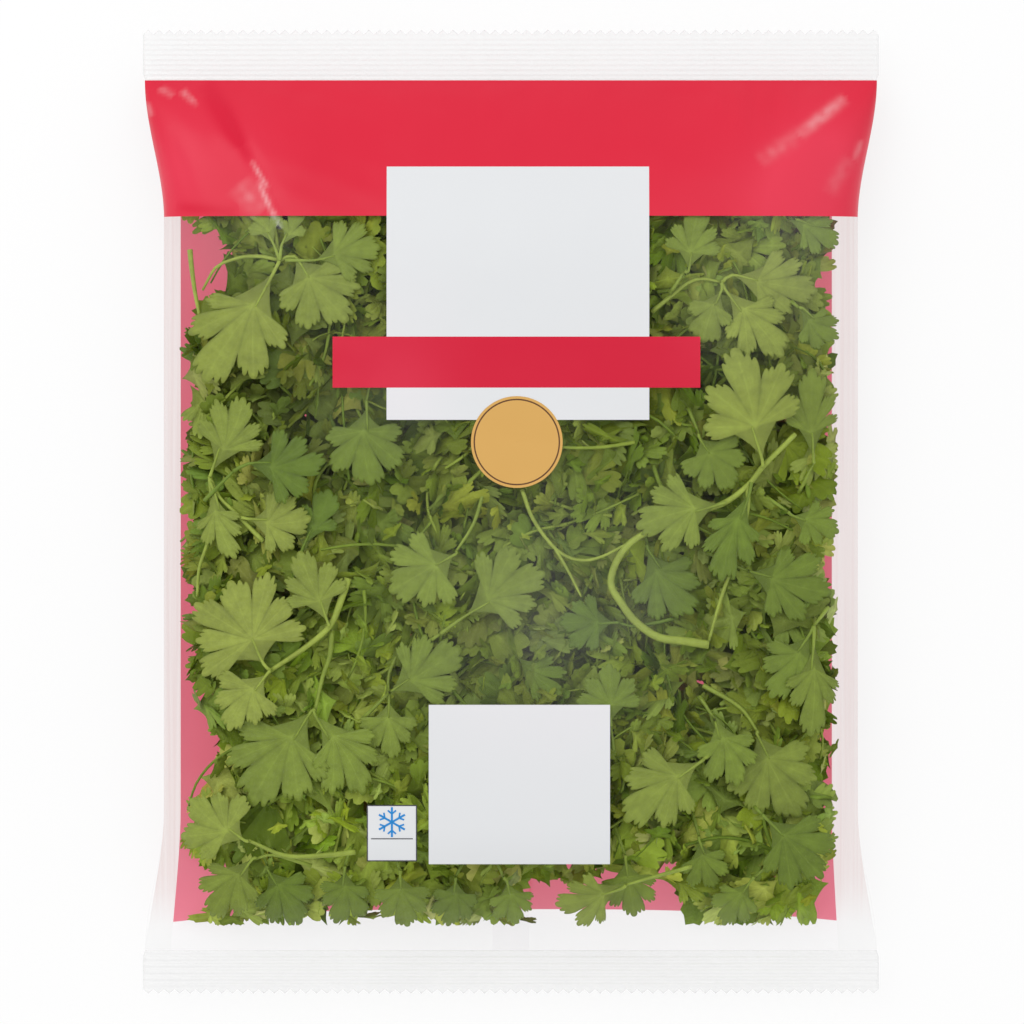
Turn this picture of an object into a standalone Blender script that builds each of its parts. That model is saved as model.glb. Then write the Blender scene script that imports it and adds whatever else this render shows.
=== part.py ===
"""A sealed pillow bag of cut flat-leaf parsley, lying on its back.

Lengths are in millimetres and become metres where a mesh is made. X runs across the bag, Y towards the
seal at its top and Z up. The origin is on the floor, below the middle of the bag.
"""

import math

import bmesh
import bpy
import numpy as np
from mathutils import Vector

MM = 0.001

# The bag, laid flat: its size, and the crimped seal across each end
BAG_WIDTH = 200.0
BAG_LENGTH = 262.0
TOP_SEAL_DEPTH = 13.8
LOW_SEAL_DEPTH = 11.8
SEAL_HEIGHT = 8.0
SEAL_THICKNESS = 1.9
SEAL_OVERLAP = 2.0
TEETH = 40
TOOTH_DEPTH = 1.3
RIDGES = 3
RIDGE_RADIUS = 1.25
RIDGE_SIDES = 6

# The filled bag: the film is drawn in at the waist and stands this high
WAIST_HALF_WIDTH = 94.2
FOLD_HALF_WIDTH = 99.5
SIDE_FOLD_HEIGHT = 12.0
RISE = 19.0
SAG = 12.6
TOP_TAPER = 60.0
LOW_TAPER = 35.0
FLARE = 38.0
FILM = 0.4
PLY_HALF = 0.8
LAP_GAP = 0.2
LAP_END = 5.0
STRAIGHT_HALF = 55.0

# Print on the front, as left, right, low and high edges
BAND_LOW = 80.0
LABEL = (-33.5, 37.5, 25.0, 93.0)
STRIP = (-33.5, 37.5, 33.5, 47.0)
PANEL = (-22.0, 27.0, -95.0, -52.0)
BACK_PRINT_LOW = -110.0
BACK_PRINT_HALF = 90.0

# Sprigs: stem and leaf-stalk radii, blade thickness and the rule of a blade's outline
STEM_RADIUS = 0.85
STALK_RADIUS = 0.6
BLADE = 0.6
BLADE_WAVE = 0.3
BLADE_STAGGER = 0.12
SHOULDER = 0.8
SIDE_SHRINK = 0.3
STALK_INTO_BLADE = 0.22

# Sprigs lie in levels that follow the front of the bag, the first one just under it
LEVELS = 13
LEVEL_PITCH = 2.1
WALL_CLEARANCE = 2.0
SPAN_OF_A_FLAT = 10.0
CELL = 2.0
STEM_MARGIN = 2.0
LEAF_MARGIN = 1.2
SIDE_LIMIT = 0.965
END_LIMIT = 5.0

# Sprigs inside the bunch, which only show between the front ones
INNER_SPRIGS = 12
INNER_TRIES = 200
INNER_TOP = 2
INNER_SEED = 11

# The sprigs that lie against the front of the bag. Each has its stems, as points (x, y) from the cut end,
# and its leaves, as the start of the leaf stalk, the blade's base, its tip and its half spread in degrees.
FRONT_SPRIGS = {
    "sprig_top_left": (
        [
            [(-62, 67), (-61, 58), (-61, 45), (-57, 32)],
            [(-62, 67), (-69, 68), (-75, 65), (-82, 60)],
        ],
        [
            ((-62, 67), (-58, 66), (-47, 51), 52),
            ((-62, 67), (-52, 71), (-35, 70), 50),
            ((-62, 67), (-65, 64), (-81, 35), 32),
            ((-62, 67), (-63, 71), (-67, 83), 50),
        ],
    ),
    "sprig_left": (
        [
            [(-67, -5), (-72, -1), (-77, 3), (-81, 9)],
            [(-81, 9), (-82, -3), (-85, -13), (-85, -24)],
        ],
        [
            ((-81, 9), (-81, 13), (-75, 32), 38),
            ((-72, -1), (-71, -2), (-56, -5), 72),
            ((-81, 9), (-80, 5), (-76, -13), 30),
        ],
    ),
    "sprig_great_fan": (
        [
            [(-44, -20), (-49, -31), (-58, -38), (-65, -43)],
            [(-49, -31), (-49, -42)],
        ],
        [
            ((-65, -43), (-67, -40), (-81, -23), 88),
            ((-65, -43), (-66, -43), (-76, -59), 52),
            ((-49, -31), (-50, -30), (-58, -10), 42),
        ],
    ),
    "sprig_looped": (
        [
            [(3, 6), (6, -2), (12, -10), (18, -13), (25, -12), (36, -6), (47, -1), (57, 2), (64, 7), (68, 13)],
            [(53, -36), (47, -35), (40, -34), (34, -30), (30, -25), (27, -19), (30, -11), (36, -6)],
            [(12, -10), (16, -17)],
        ],
        [
            ((57, 2), (56, 2), (35, -3), 52),
            ((68, 13), (68, 14), (60, 43), 54),
            ((64, 7), (64, 4), (57, -20), 28),
        ],
    ),
    "sprig_right_upper": (
        [[(38, 49), (49, 58), (57, 62)]],
        [((57, 62), (60, 63), (85, 58), 42), ((57, 62), (58, 60), (73, 40), 36)],
    ),
    "sprig_lower_left": (
        [[(-48, -35), (-51, -44), (-53, -54)]],
        [((-53, -54), (-54, -55), (-69, -78), 50), ((-53, -54), (-52, -56), (-41, -80), 36)],
    ),
    "sprig_centre": (
        [[(-30, -41), (-19, -33)]],
        [((-19, -33), (-11, -28), (8, -15), 58)],
    ),
    "sprig_centre_left": (
        [[(-7, 7), (-10, -3), (-15, -11)]],
        [((-15, -11), (-15, -12), (-34, -21), 52)],
    ),
    "sprig_centre_low": (
        [[(-40, -56), (-33, -49)]],
        [((-33, -49), (-33, -48), (-16, -36), 62)],
    ),
    "sprig_left_dark": (
        [[(-83, 3), (-78, 8), (-75, 11)]],
        [((-75, 11), (-71, 13), (-50, 14), 62)],
    ),
    "sprig_label_left": (
        [[(-36, 44), (-38, 35), (-39, 30)]],
        [((-39, 30), (-39, 28), (-38, 7), 68)],
    ),
    "sprig_narrow": (
        [[(-60, -21), (-57, -12)]],
        [((-57, -12), (-56, -9), (-49, 6), 30)],
    ),
    "sprig_left_of_panel": (
        [[(-30, -37), (-33, -44), (-33, -49)]],
        [((-33, -49), (-33, -51), (-33, -67), 68)],
    ),
    "sprig_corner_left": (
        [[(-42, -92), (-51, -93), (-61, -93), (-71, -89)]],
        [((-71, -89), (-73, -89), (-87, -84), 72)],
    ),
    "sprig_corner_low": (
        [[(-54, -96), (-64, -93), (-69, -94)]],
        [((-69, -94), (-70, -94), (-81, -110), 52)],
    ),
    "sprig_bottom_left": (
        [[(-69, -88), (-66, -96)]],
        [((-66, -96), (-66, -97), (-57, -112), 54)],
    ),
    "sprig_dark_centre": (
        [[(44, -29), (34, -31), (29, -30)]],
        [((29, -30), (28, -30), (13, -31), 66)],
    ),
    "sprig_band_edge": (
        [[(43, 59), (47, 65)]],
        [((47, 65), (47, 66), (53, 81), 52)],
    ),
    "sprig_hazy": (
        [[(48, 28), (51, 21)]],
        [((51, 21), (51, 20), (60, 6), 70)],
    ),
    "sprig_inside_loop": (
        [[(35, -4), (38, -10)]],
        [((38, -10), (38, -11), (48, -28), 68)],
    ),
    "sprig_right": (
        [[(53, -11), (64, -16)]],
        [((64, -16), (65, -16), (88, -23), 50)],
    ),
    "sprig_right_edge": (
        [[(69, 4), (75, 0)]],
        [((75, 0), (76, -1), (89, -6), 55)],
    ),
    "sprig_right_upright": (
        [[(78, 5), (82, 13)]],
        [((82, 13), (82, 14), (81, 39), 26)],
    ),
    "sprig_right_lower": (
        [[(88, -23), (82, -31)]],
        [((82, -31), (81, -32), (72, -49), 52), ((82, -31), (82, -35), (80, -61), 24)],
    ),
    "sprig_over_panel": (
        [[(28, -67), (27, -58)]],
        [((27, -58), (27, -57), (26, -41), 74)],
    ),
    "sprig_panel_right": (
        [[(58, -62), (52, -67)]],
        [((52, -67), (51, -68), (31, -82), 40)],
    ),
    "sprig_low_middle": (
        [[(51, -50), (55, -56)]],
        [((55, -56), (55, -57), (59, -75), 58)],
    ),
    "sprig_low_right": (
        [[(52, -47), (62, -53), (67, -60)]],
        [((67, -60), (67, -61), (79, -82), 60)],
    ),
    "sprig_corner_right": (
        [[(63, -77), (68, -82)]],
        [((68, -82), (69, -83), (85, -99), 60)],
    ),
    "sprig_bottom_right": (
        [[(49, -96), (38, -99), (31, -101)]],
        [((31, -101), (30, -102), (12, -108), 46)],
    ),
    "sprig_under_panel": (
        [[(28, -85), (31, -93)]],
        [((31, -93), (31, -94), (33, -110), 60)],
    ),
    "sprig_bottom_edge": (
        [[(72, -94), (66, -99)]],
        [((66, -99), (65, -100), (57, -112), 52)],
    ),
    "sprig_bottom_inner": (
        [[(49, -81), (51, -88)]],
        [((51, -88), (51, -89), (56, -102), 62)],
    ),
    "sprig_bottom_a": (
        [[(-43, -90), (-45, -96)]],
        [((-45, -96), (-45, -97), (-47, -112), 60)],
    ),
    "sprig_bottom_b": (
        [[(-32, -91), (-30, -97)]],
        [((-30, -97), (-30, -98), (-29, -113), 60)],
    ),
    "sprig_bottom_c": (
        [[(-12, -93), (-15, -99)]],
        [((-15, -99), (-15, -100), (-17, -113), 64)],
    ),
    "sprig_bottom_d": (
        [[(-4, -94), (-2, -99)]],
        [((-2, -99), (-1, -100), (1, -112), 64)],
    ),
    "sprig_band_right": (
        [[(69, 83), (77, 79)]],
        [((77, 79), (78, 79), (92, 73), 50)],
    ),
    "sprig_edge_upper": (
        [[(72, 60), (78, 55)]],
        [((78, 55), (79, 55), (89, 46), 55)],
    ),
}

TOP_SEAM = BAG_LENGTH / 2 - TOP_SEAL_DEPTH
LOW_SEAM = LOW_SEAL_DEPTH - BAG_LENGTH / 2

# Colours, linear RGB and alpha
CLEAR_FILM = (0.86, 0.84, 0.83, 0.25)
RED_PRINT = (0.74, 0.035, 0.065, 1.0)
WHITE_PRINT = (0.80, 0.81, 0.82, 1.0)
SEAL_WHITE = (0.88, 0.88, 0.88, 0.6)
LEAF_GREEN = (0.13, 0.24, 0.05, 1.0)
DEEP_GREEN = (0.06, 0.13, 0.02, 1.0)


def clear_scene():
    for obj in list(bpy.data.objects):
        bpy.data.objects.remove(obj, do_unlink=True)


def make_collection(name):
    collection = bpy.data.collections.new(name)
    bpy.context.scene.collection.children.link(collection)
    return collection


def make_material(name, colour, roughness):
    material = bpy.data.materials.new(name)
    material.use_nodes = True
    shader = material.node_tree.nodes["Principled BSDF"]
    shader.inputs["Base Color"].default_value = colour
    shader.inputs["Alpha"].default_value = colour[3]
    shader.inputs["Roughness"].default_value = roughness
    shader.inputs["Metallic"].default_value = 0.0
    material.diffuse_color = colour
    return material


def smooth(t):
    t = np.clip(t, 0.0, 1.0)
    return t * t * (3 - 2 * t)


# Shape of the film


def fullness(y):
    """0 at either seal and 1 where the bag has its whole height."""
    from_top = np.clip((TOP_SEAM - y) / TOP_TAPER, 0.0, 1.0)
    from_low = np.clip((y - LOW_SEAM) / LOW_TAPER, 0.0, 1.0)
    return (1 - (1 - from_top) ** 2.4) * (1 - (1 - from_low) ** 2.4)


def half_width(y):
    """Half the bag's width: drawn in at the waist, and flared to the flat width at the seals."""
    to_top = smooth((y - (TOP_SEAM - FLARE)) / FLARE)
    to_low = smooth((LOW_SEAM + FLARE - y) / FLARE)
    return WAIST_HALF_WIDTH + (FOLD_HALF_WIDTH - WAIST_HALF_WIDTH) * (to_top + to_low)


def side_height(y):
    return SEAL_HEIGHT + (SIDE_FOLD_HEIGHT - SEAL_HEIGHT) * fullness(y)


def across(x, y, inset):
    """How much of its full rise the film has at x: 1 in the middle and 0 at the side fold."""
    share = np.clip(np.abs(x) / (half_width(y) - inset), 0.0, 1.0)
    squareness = 4.0 + 36.0 * (1 - fullness(y)) ** 2
    return np.sqrt(1 - share**squareness)


def film_high(x, y, inset=0.0):
    return side_height(y) + (PLY_HALF - inset + RISE * fullness(y)) * across(x, y, inset)


def film_low(x, y, inset=0.0):
    free = side_height(y) - (PLY_HALF - inset + SAG * fullness(y)) * across(x, y, inset)
    return np.maximum(free, inset)


# The bag film: a tube with a lap seam down its back, joined to a crimped seal at each end


def film_column(x_at_waist, y, inset):
    """Columns stay straight near the middle, under the print, and fan out with the film towards its sides."""
    if abs(x_at_waist) <= STRAIGHT_HALF:
        return x_at_waist
    stretch = (half_width(y) - inset - STRAIGHT_HALF) / (WAIST_HALF_WIDTH - STRAIGHT_HALF)
    return math.copysign(STRAIGHT_HALF + (abs(x_at_waist) - STRAIGHT_HALF) * stretch, x_at_waist)


def film_section(y, inset):
    """One closed-up turn of the film at y, from the outer end of the lap seam round to its inner end."""
    low_left = (LAP_END, -40, -70, -86, -92.5)
    high = (-92.5, -87, -76, -62, LABEL[0], PANEL[0], 0, PANEL[1], LABEL[1], 62, 76, 87, 92.5)
    low_right = (92.5, 86, 70, 40, LAP_END + 4)
    under_lap = (LAP_END + 1.2, -LAP_END)
    lap_lift = FILM + LAP_GAP
    points = []
    for x in low_left:
        x = film_column(x, y, inset)
        points.append((x, y, film_low(x, y, inset)))
    points.append((-(half_width(y) - inset), y, side_height(y)))
    for x in high:
        x = film_column(x, y, inset)
        points.append((x, y, film_high(x, y, inset)))
    points.append((half_width(y) - inset, y, side_height(y)))
    for x in low_right:
        x = film_column(x, y, inset)
        points.append((x, y, film_low(x, y, inset)))
    for x in under_lap:
        points.append((x, y, film_low(x, y, inset) + lap_lift))
    return points


FILM_ROWS = (
    LOW_SEAM - SEAL_OVERLAP,
    LOW_SEAM,
    LOW_SEAM + 3,
    BACK_PRINT_LOW,
    -103,
    PANEL[2],
    -80,
    PANEL[3],
    -20,
    LABEL[2],
    STRIP[2],
    STRIP[3],
    64,
    BAND_LOW,
    LABEL[3],
    104,
    112,
    TOP_SEAM,
    TOP_SEAM + SEAL_OVERLAP,
)


def inside(box, x, y):
    left, right, low, high = box
    return left < x < right and low < y < high


def film_print(middle, faces_up):
    """The material's number for a film face: 0 clear, 1 red, 2 white."""
    x, y = middle.x / MM, middle.y / MM
    if not faces_up:
        return 1 if abs(x) < BACK_PRINT_HALF and y > BACK_PRINT_LOW else 0
    if inside(STRIP, x, y):
        return 1
    if inside(LABEL, x, y) or inside(PANEL, x, y):
        return 2
    return 1 if y > BAND_LOW else 0


def film_tube_mesh():
    """Outer and inner skins of the film, closed along both ends of each section and at both ends of the tube."""
    shape = bmesh.new()
    skins = []
    for inset in (0.0, FILM):
        rows = [[shape.verts.new(Vector(p) * MM) for p in film_section(y, inset)] for y in FILM_ROWS]
        skins.append(rows)
    outer, inner = skins
    last_row, last_column = len(FILM_ROWS) - 1, len(outer[0]) - 1
    for i in range(last_row):
        for j in range(last_column):
            shape.faces.new((outer[i][j], outer[i][j + 1], outer[i + 1][j + 1], outer[i + 1][j]))
            shape.faces.new((inner[i][j], inner[i + 1][j], inner[i + 1][j + 1], inner[i][j + 1]))
        for j in (0, last_column):
            shape.faces.new((outer[i][j], outer[i + 1][j], inner[i + 1][j], inner[i][j]))
    for j in range(last_column):
        for i in (0, last_row):
            shape.faces.new((outer[i][j], inner[i][j], inner[i][j + 1], outer[i][j + 1]))
    bmesh.ops.recalc_face_normals(shape, faces=shape.faces)
    for face in shape.faces:
        middle = face.calc_center_median()
        above = middle.z / MM > side_height(middle.y / MM)
        face.material_index = film_print(middle, above)
    mesh = bpy.data.meshes.new("bag_film")
    shape.to_mesh(mesh)
    shape.free()
    return mesh


def seal_outline(inner_edge, outer_edge):
    """A seal's flat outline: straight where it meets the bag, and pinked along its outer edge."""
    out = math.copysign(1.0, outer_edge)
    pitch = BAG_WIDTH / TEETH
    points = [(BAG_WIDTH / 2, inner_edge), (-BAG_WIDTH / 2, inner_edge)]
    for tooth in range(TEETH):
        left = -BAG_WIDTH / 2 + tooth * pitch
        points.append((left, outer_edge - out * TOOTH_DEPTH))
        points.append((left + pitch / 2, outer_edge))
    points.append((BAG_WIDTH / 2, outer_edge - out * TOOTH_DEPTH))
    return points


def mesh_from_curve(curve, name):
    """The curve as a mesh whose caps are welded to its sides."""
    source = bpy.data.objects.new(name, curve)
    bpy.context.scene.collection.objects.link(source)
    bpy.context.view_layer.update()
    evaluated = source.evaluated_get(bpy.context.evaluated_depsgraph_get())
    mesh = bpy.data.meshes.new_from_object(evaluated)
    bpy.data.objects.remove(source, do_unlink=True)
    shape = bmesh.new()
    shape.from_mesh(mesh)
    bmesh.ops.remove_doubles(shape, verts=shape.verts, dist=1e-6)
    bmesh.ops.recalc_face_normals(shape, faces=shape.faces)
    shape.to_mesh(mesh)
    shape.free()
    return mesh


def make_object(mesh, name, collection, materials):
    obj = bpy.data.objects.new(name, mesh)
    collection.objects.link(obj)
    mesh.materials.clear()
    for material in materials:
        mesh.materials.append(material)
    return obj


def seal_plate(name, inner_edge, outer_edge, collection, material):
    shape = bmesh.new()
    low = SEAL_HEIGHT - SEAL_THICKNESS / 2
    outline = seal_outline(inner_edge, outer_edge)
    face = shape.faces.new([shape.verts.new(Vector((x, y, low)) * MM) for x, y in outline])
    raised = bmesh.ops.extrude_face_region(shape, geom=[face])
    above = [item for item in raised["geom"] if isinstance(item, bmesh.types.BMVert)]
    bmesh.ops.translate(shape, verts=above, vec=(0.0, 0.0, SEAL_THICKNESS * MM))
    bmesh.ops.recalc_face_normals(shape, faces=shape.faces)
    mesh = bpy.data.meshes.new(name)
    shape.to_mesh(mesh)
    shape.free()
    return make_object(mesh, name, collection, [material])


def seal_ridge(name, y, collection, material):
    """One crimp line across a seal, which stands out of both its faces."""
    shape = bmesh.new()
    bmesh.ops.create_cone(
        shape,
        cap_ends=True,
        segments=RIDGE_SIDES,
        radius1=RIDGE_RADIUS * MM,
        radius2=RIDGE_RADIUS * MM,
        depth=(BAG_WIDTH - 0.8) * MM,
    )
    for vertex in shape.verts:
        along, sideways, up = vertex.co.z, vertex.co.y, vertex.co.x
        vertex.co = Vector((along, y * MM + sideways, SEAL_HEIGHT * MM + up))
    bmesh.ops.recalc_face_normals(shape, faces=shape.faces)
    mesh = bpy.data.meshes.new(name)
    shape.to_mesh(mesh)
    shape.free()
    return make_object(mesh, name, collection, [material])


def union(name, base, others, collection):
    """base joined with the objects in others by one Boolean, which is applied, and the others removed."""
    tools = make_collection(name + "_joined")
    for obj in others:
        for holder in list(obj.users_collection):
            holder.objects.unlink(obj)
        tools.objects.link(obj)
    join = base.modifiers.new("join", "BOOLEAN")
    join.operation = "UNION"
    join.operand_type = "COLLECTION"
    join.collection = tools
    join.solver = "EXACT"
    bpy.context.view_layer.update()
    evaluated = base.evaluated_get(bpy.context.evaluated_depsgraph_get())
    mesh = bpy.data.meshes.new_from_object(evaluated)
    for obj in [base, *others]:
        bpy.data.objects.remove(obj, do_unlink=True)
    bpy.data.collections.remove(tools)
    mesh.name = name
    joined = bpy.data.objects.new(name, mesh)
    collection.objects.link(joined)
    return joined


def build_bag_film(collection, materials):
    clear, red, white, seal = materials
    tube = make_object(film_tube_mesh(), "film_tube", collection, [clear, red, white, seal])
    pieces = []
    for end, inner_edge, depth in (("top", TOP_SEAM, TOP_SEAL_DEPTH), ("low", LOW_SEAM, LOW_SEAL_DEPTH)):
        out = math.copysign(1.0, inner_edge)
        outer_edge = inner_edge + out * depth
        pieces.append(seal_plate(f"seal_{end}", inner_edge, outer_edge, collection, seal))
        spacing = (depth - TOOTH_DEPTH) / (RIDGES + 0.5)
        for ridge in range(RIDGES):
            y = inner_edge + out * spacing * (ridge + 0.75)
            pieces.append(seal_ridge(f"ridge_{end}_{ridge}", y, collection, seal))
    film = union("bag_film", tube, pieces, collection)
    film.data.shade_smooth()
    film.data.set_sharp_from_angle(angle=math.radians(35))
    return film


# Levels between the two walls of the bag


def sag_of_a_flat(x, y):
    """How far a straight piece as long as a leaf hangs below a curved level."""
    reach = SPAN_OF_A_FLAT
    here = film_high(x, y, FILM)
    along_x = here - (film_high(x - reach, y, FILM) + film_high(x + reach, y, FILM)) / 2
    along_y = here - (film_high(x, y - reach, FILM) + film_high(x, y + reach, FILM)) / 2
    return np.clip(np.maximum(along_x, along_y), 0.0, None)


def level_height(x, y, level):
    return film_high(x, y, FILM) - WALL_CLEARANCE - level * (LEVEL_PITCH + sag_of_a_flat(x, y))


def keep_inside(x, y):
    """The point moved in to where the bag has room for a blade."""
    y = min(max(y, LOW_SEAM + END_LIMIT), TOP_SEAM - END_LIMIT)
    reach = half_width(y) * SIDE_LIMIT
    return min(max(x, -reach), reach), y


def grid():
    x = np.arange(-BAG_WIDTH / 2, BAG_WIDTH / 2 + CELL, CELL)
    y = np.arange(-BAG_LENGTH / 2, BAG_LENGTH / 2 + CELL, CELL)
    return np.meshgrid(x, y)


GRID_X, GRID_Y = grid()


def open_cells(level):
    """Cells of the grid where this level is clear of the bag's back."""
    above_back = level_height(GRID_X, GRID_Y, level) - film_low(GRID_X, GRID_Y, FILM)
    within = (GRID_Y > LOW_SEAM + END_LIMIT) & (GRID_Y < TOP_SEAM - END_LIMIT)
    return (above_back > LAP_GAP + FILM + WALL_CLEARANCE) & within


def near_line(points, reach):
    """Cells within reach of the line through these points."""
    found = np.zeros(GRID_X.shape, bool)
    for (ax, ay), (bx, by) in zip(points, points[1:]):
        dx, dy = bx - ax, by - ay
        t = np.clip(((GRID_X - ax) * dx + (GRID_Y - ay) * dy) / (dx * dx + dy * dy), 0.0, 1.0)
        found |= np.hypot(GRID_X - ax - t * dx, GRID_Y - ay - t * dy) < reach
    return found


def under_leaf(base, tip, half_spread):
    """Cells within the fan that a leaf's blade covers."""
    dx, dy = GRID_X - base[0], GRID_Y - base[1]
    heading = math.atan2(tip[1] - base[1], tip[0] - base[0])
    length = math.dist(base, tip)
    away = np.hypot(dx, dy)
    turn = (np.arctan2(dy, dx) - heading + np.pi) % (2 * np.pi) - np.pi
    spread = math.radians(half_spread)
    reach = length * (1 - SIDE_SHRINK * np.clip(np.abs(turn) / spread, 0, 1) ** 2) + LEAF_MARGIN
    beside = (np.abs(turn) - spread) * away < LEAF_MARGIN
    return (away < reach) & ((np.abs(turn) < spread) | (beside & (np.abs(turn) < np.pi / 2)))


def footprint(sprig):
    stems, leaves = sprig
    covered = np.zeros(GRID_X.shape, bool)
    for points in stems:
        covered |= near_line(points, STEM_MARGIN)
    for start, base, tip, half_spread in leaves:
        covered |= near_line((start, base), STEM_MARGIN)
        covered |= under_leaf(base, tip, half_spread)
    return covered


def settle(covered, taken, levels):
    """The first of these levels with room for a sprig that covers these cells, or None."""
    for level in levels:
        blocked = taken[level] | ~OPEN[level]
        if not (covered & blocked).any():
            taken[level] |= covered
            return level
    return None


OPEN = [open_cells(level) for level in range(LEVELS)]


def inner_sprig(random, root, heading):
    """A stem with one leaf at its end and one at each side, as stems and leaves."""
    stem_length = random.uniform(30, 46)
    bend = random.uniform(-0.5, 0.5)
    points, at = [root], root
    for _ in range(3):
        at = (at[0] + stem_length / 3 * math.cos(heading), at[1] + stem_length / 3 * math.sin(heading))
        points.append(at)
        heading += bend / 2
    leaves = []
    for joint, turn in ((3, 0.0), (2, 0.9), (2, -0.9)):
        aim = heading + turn + random.uniform(-0.15, 0.15)
        stalk = random.uniform(5, 8) if turn else 2.0
        length = random.uniform(19, 26)
        start = points[joint]
        base = (start[0] + stalk * math.cos(aim), start[1] + stalk * math.sin(aim))
        tip = (base[0] + length * math.cos(aim), base[1] + length * math.sin(aim))
        leaves.append((start, base, tip, random.uniform(42, 55)))
    return [points], leaves


def place_sprigs():
    """Every sprig with its level. The front ones come first, and the inner ones fill the levels below them."""
    taken = [np.zeros(GRID_X.shape, bool) for _ in range(LEVELS)]
    placed = []
    for name, sprig in FRONT_SPRIGS.items():
        covered = footprint(sprig) & OPEN[0]
        level = settle(covered, taken, range(LEVELS))
        placed.append((name, sprig, level))
    random = np.random.default_rng(INNER_SEED)
    for number in range(INNER_SPRIGS):
        below = range(INNER_TOP + number % (LEVELS - INNER_TOP), LEVELS)
        for _ in range(INNER_TRIES):
            root = (random.uniform(-85, 85), random.uniform(-105, 105))
            sprig = inner_sprig(random, root, random.uniform(-math.pi, math.pi))
            level = settle(footprint(sprig), taken, below)
            if level is not None:
                placed.append((f"inner_sprig_{number + 1:02d}", sprig, level))
                break
    return placed


# Stems and leaves


def on_level(x, y, level, lift=0.0):
    x, y = keep_inside(x, y)
    return Vector((x, y, float(level_height(x, y, level)) + lift)) * MM


def tube_mesh(name, points, level, radius):
    curve = bpy.data.curves.new(name, "CURVE")
    curve.dimensions = "3D"
    curve.bevel_depth = radius * MM
    curve.bevel_resolution = 0
    curve.use_fill_caps = True
    spline = curve.splines.new("POLY")
    spline.points.add(len(points) - 1)
    for number, (point, (x, y)) in enumerate(zip(spline.points, points)):
        point.co = (*on_level(x, y, level), 1.0)
        point.radius = 1.0 - 0.25 * number / (len(points) - 1)
    return mesh_from_curve(curve, name)


def blade_outline(length, half_spread, lobes):
    """A star-shaped blade's rim, as angle, distance from its base and wave: a tip and two shoulders a lobe."""
    half_lobe = half_spread / lobes
    outline = []
    for lobe in range(lobes):
        middle = -half_spread + (2 * lobe + 1) * half_lobe
        reach = length * (1 - SIDE_SHRINK * (middle / half_spread) ** 2)
        outline.append((middle - 0.72 * half_lobe, reach * SHOULDER, 1.0))
        outline.append((middle, reach, -1.0))
        outline.append((middle + 0.72 * half_lobe, reach * SHOULDER, 1.0))
    return outline


def blade_mesh(name, base, tip, half_spread, level, lobes, lift):
    """A thin lobed blade, pleated a little from its base to its shoulders and tips."""
    heading = math.atan2(tip[1] - base[1], tip[0] - base[0])
    shape = bmesh.new()
    root = shape.verts.new(on_level(*base, level, lift))
    rim = []
    for angle, distance, wave in blade_outline(math.dist(base, tip), math.radians(half_spread), lobes):
        x = base[0] + distance * math.cos(heading + angle)
        y = base[1] + distance * math.sin(heading + angle)
        rim.append(shape.verts.new(on_level(x, y, level, lift + BLADE_WAVE * wave)))
    top = [shape.faces.new((root, a, b)) for a, b in zip(rim, rim[1:])]
    sides = bmesh.ops.extrude_face_region(shape, geom=top)
    below = [item for item in sides["geom"] if isinstance(item, bmesh.types.BMVert)]
    bmesh.ops.translate(shape, verts=below, vec=(0.0, 0.0, -BLADE * MM))
    bmesh.ops.recalc_face_normals(shape, faces=shape.faces)
    mesh = bpy.data.meshes.new(name)
    shape.to_mesh(mesh)
    shape.free()
    return mesh


def build_sprig(name, sprig, level, collection, material):
    stems, leaves = sprig
    lobes = 3 if name.startswith("inner") else 5
    meshes = [tube_mesh(name, points, level, STEM_RADIUS) for points in stems]
    for number, (start, base, tip, half_spread) in enumerate(leaves):
        into = tuple(b + (t - b) * STALK_INTO_BLADE for b, t in zip(base, tip))
        lift = BLADE / 2 + BLADE_STAGGER * (number - (len(leaves) - 1) / 2)
        meshes.append(tube_mesh(name, [start, into], level, STALK_RADIUS))
        meshes.append(blade_mesh(name, base, tip, half_spread, level, lobes, lift))
    objects = [make_object(mesh, name, collection, [material]) for mesh in meshes]
    sprig_object = union(name, objects[0], objects[1:], collection)
    sprig_object.data.shade_smooth()
    sprig_object.data.set_sharp_from_angle(angle=math.radians(30))
    return sprig_object


def main():
    clear_scene()
    bag = make_collection("parsley_bag")
    film_materials = [
        make_material("clear_film", CLEAR_FILM, 0.15),
        make_material("red_print", RED_PRINT, 0.3),
        make_material("white_print", WHITE_PRINT, 0.35),
        make_material("crimped_seal", SEAL_WHITE, 0.4),
    ]
    leaf_green = make_material("parsley_leaf", LEAF_GREEN, 0.5)
    deep_green = make_material("parsley_deep", DEEP_GREEN, 0.5)
    build_bag_film(bag, film_materials)
    for name, sprig, level in place_sprigs():
        material = deep_green if name.startswith("inner") else leaf_green
        build_sprig(name, sprig, level, bag, material)


main()
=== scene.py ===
"""The looks of a sealed pillow bag of flat-leaf parsley, seen from straight above.

Lengths here are in millimetres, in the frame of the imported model, and become metres where a mesh is made.
"""

import math

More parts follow.
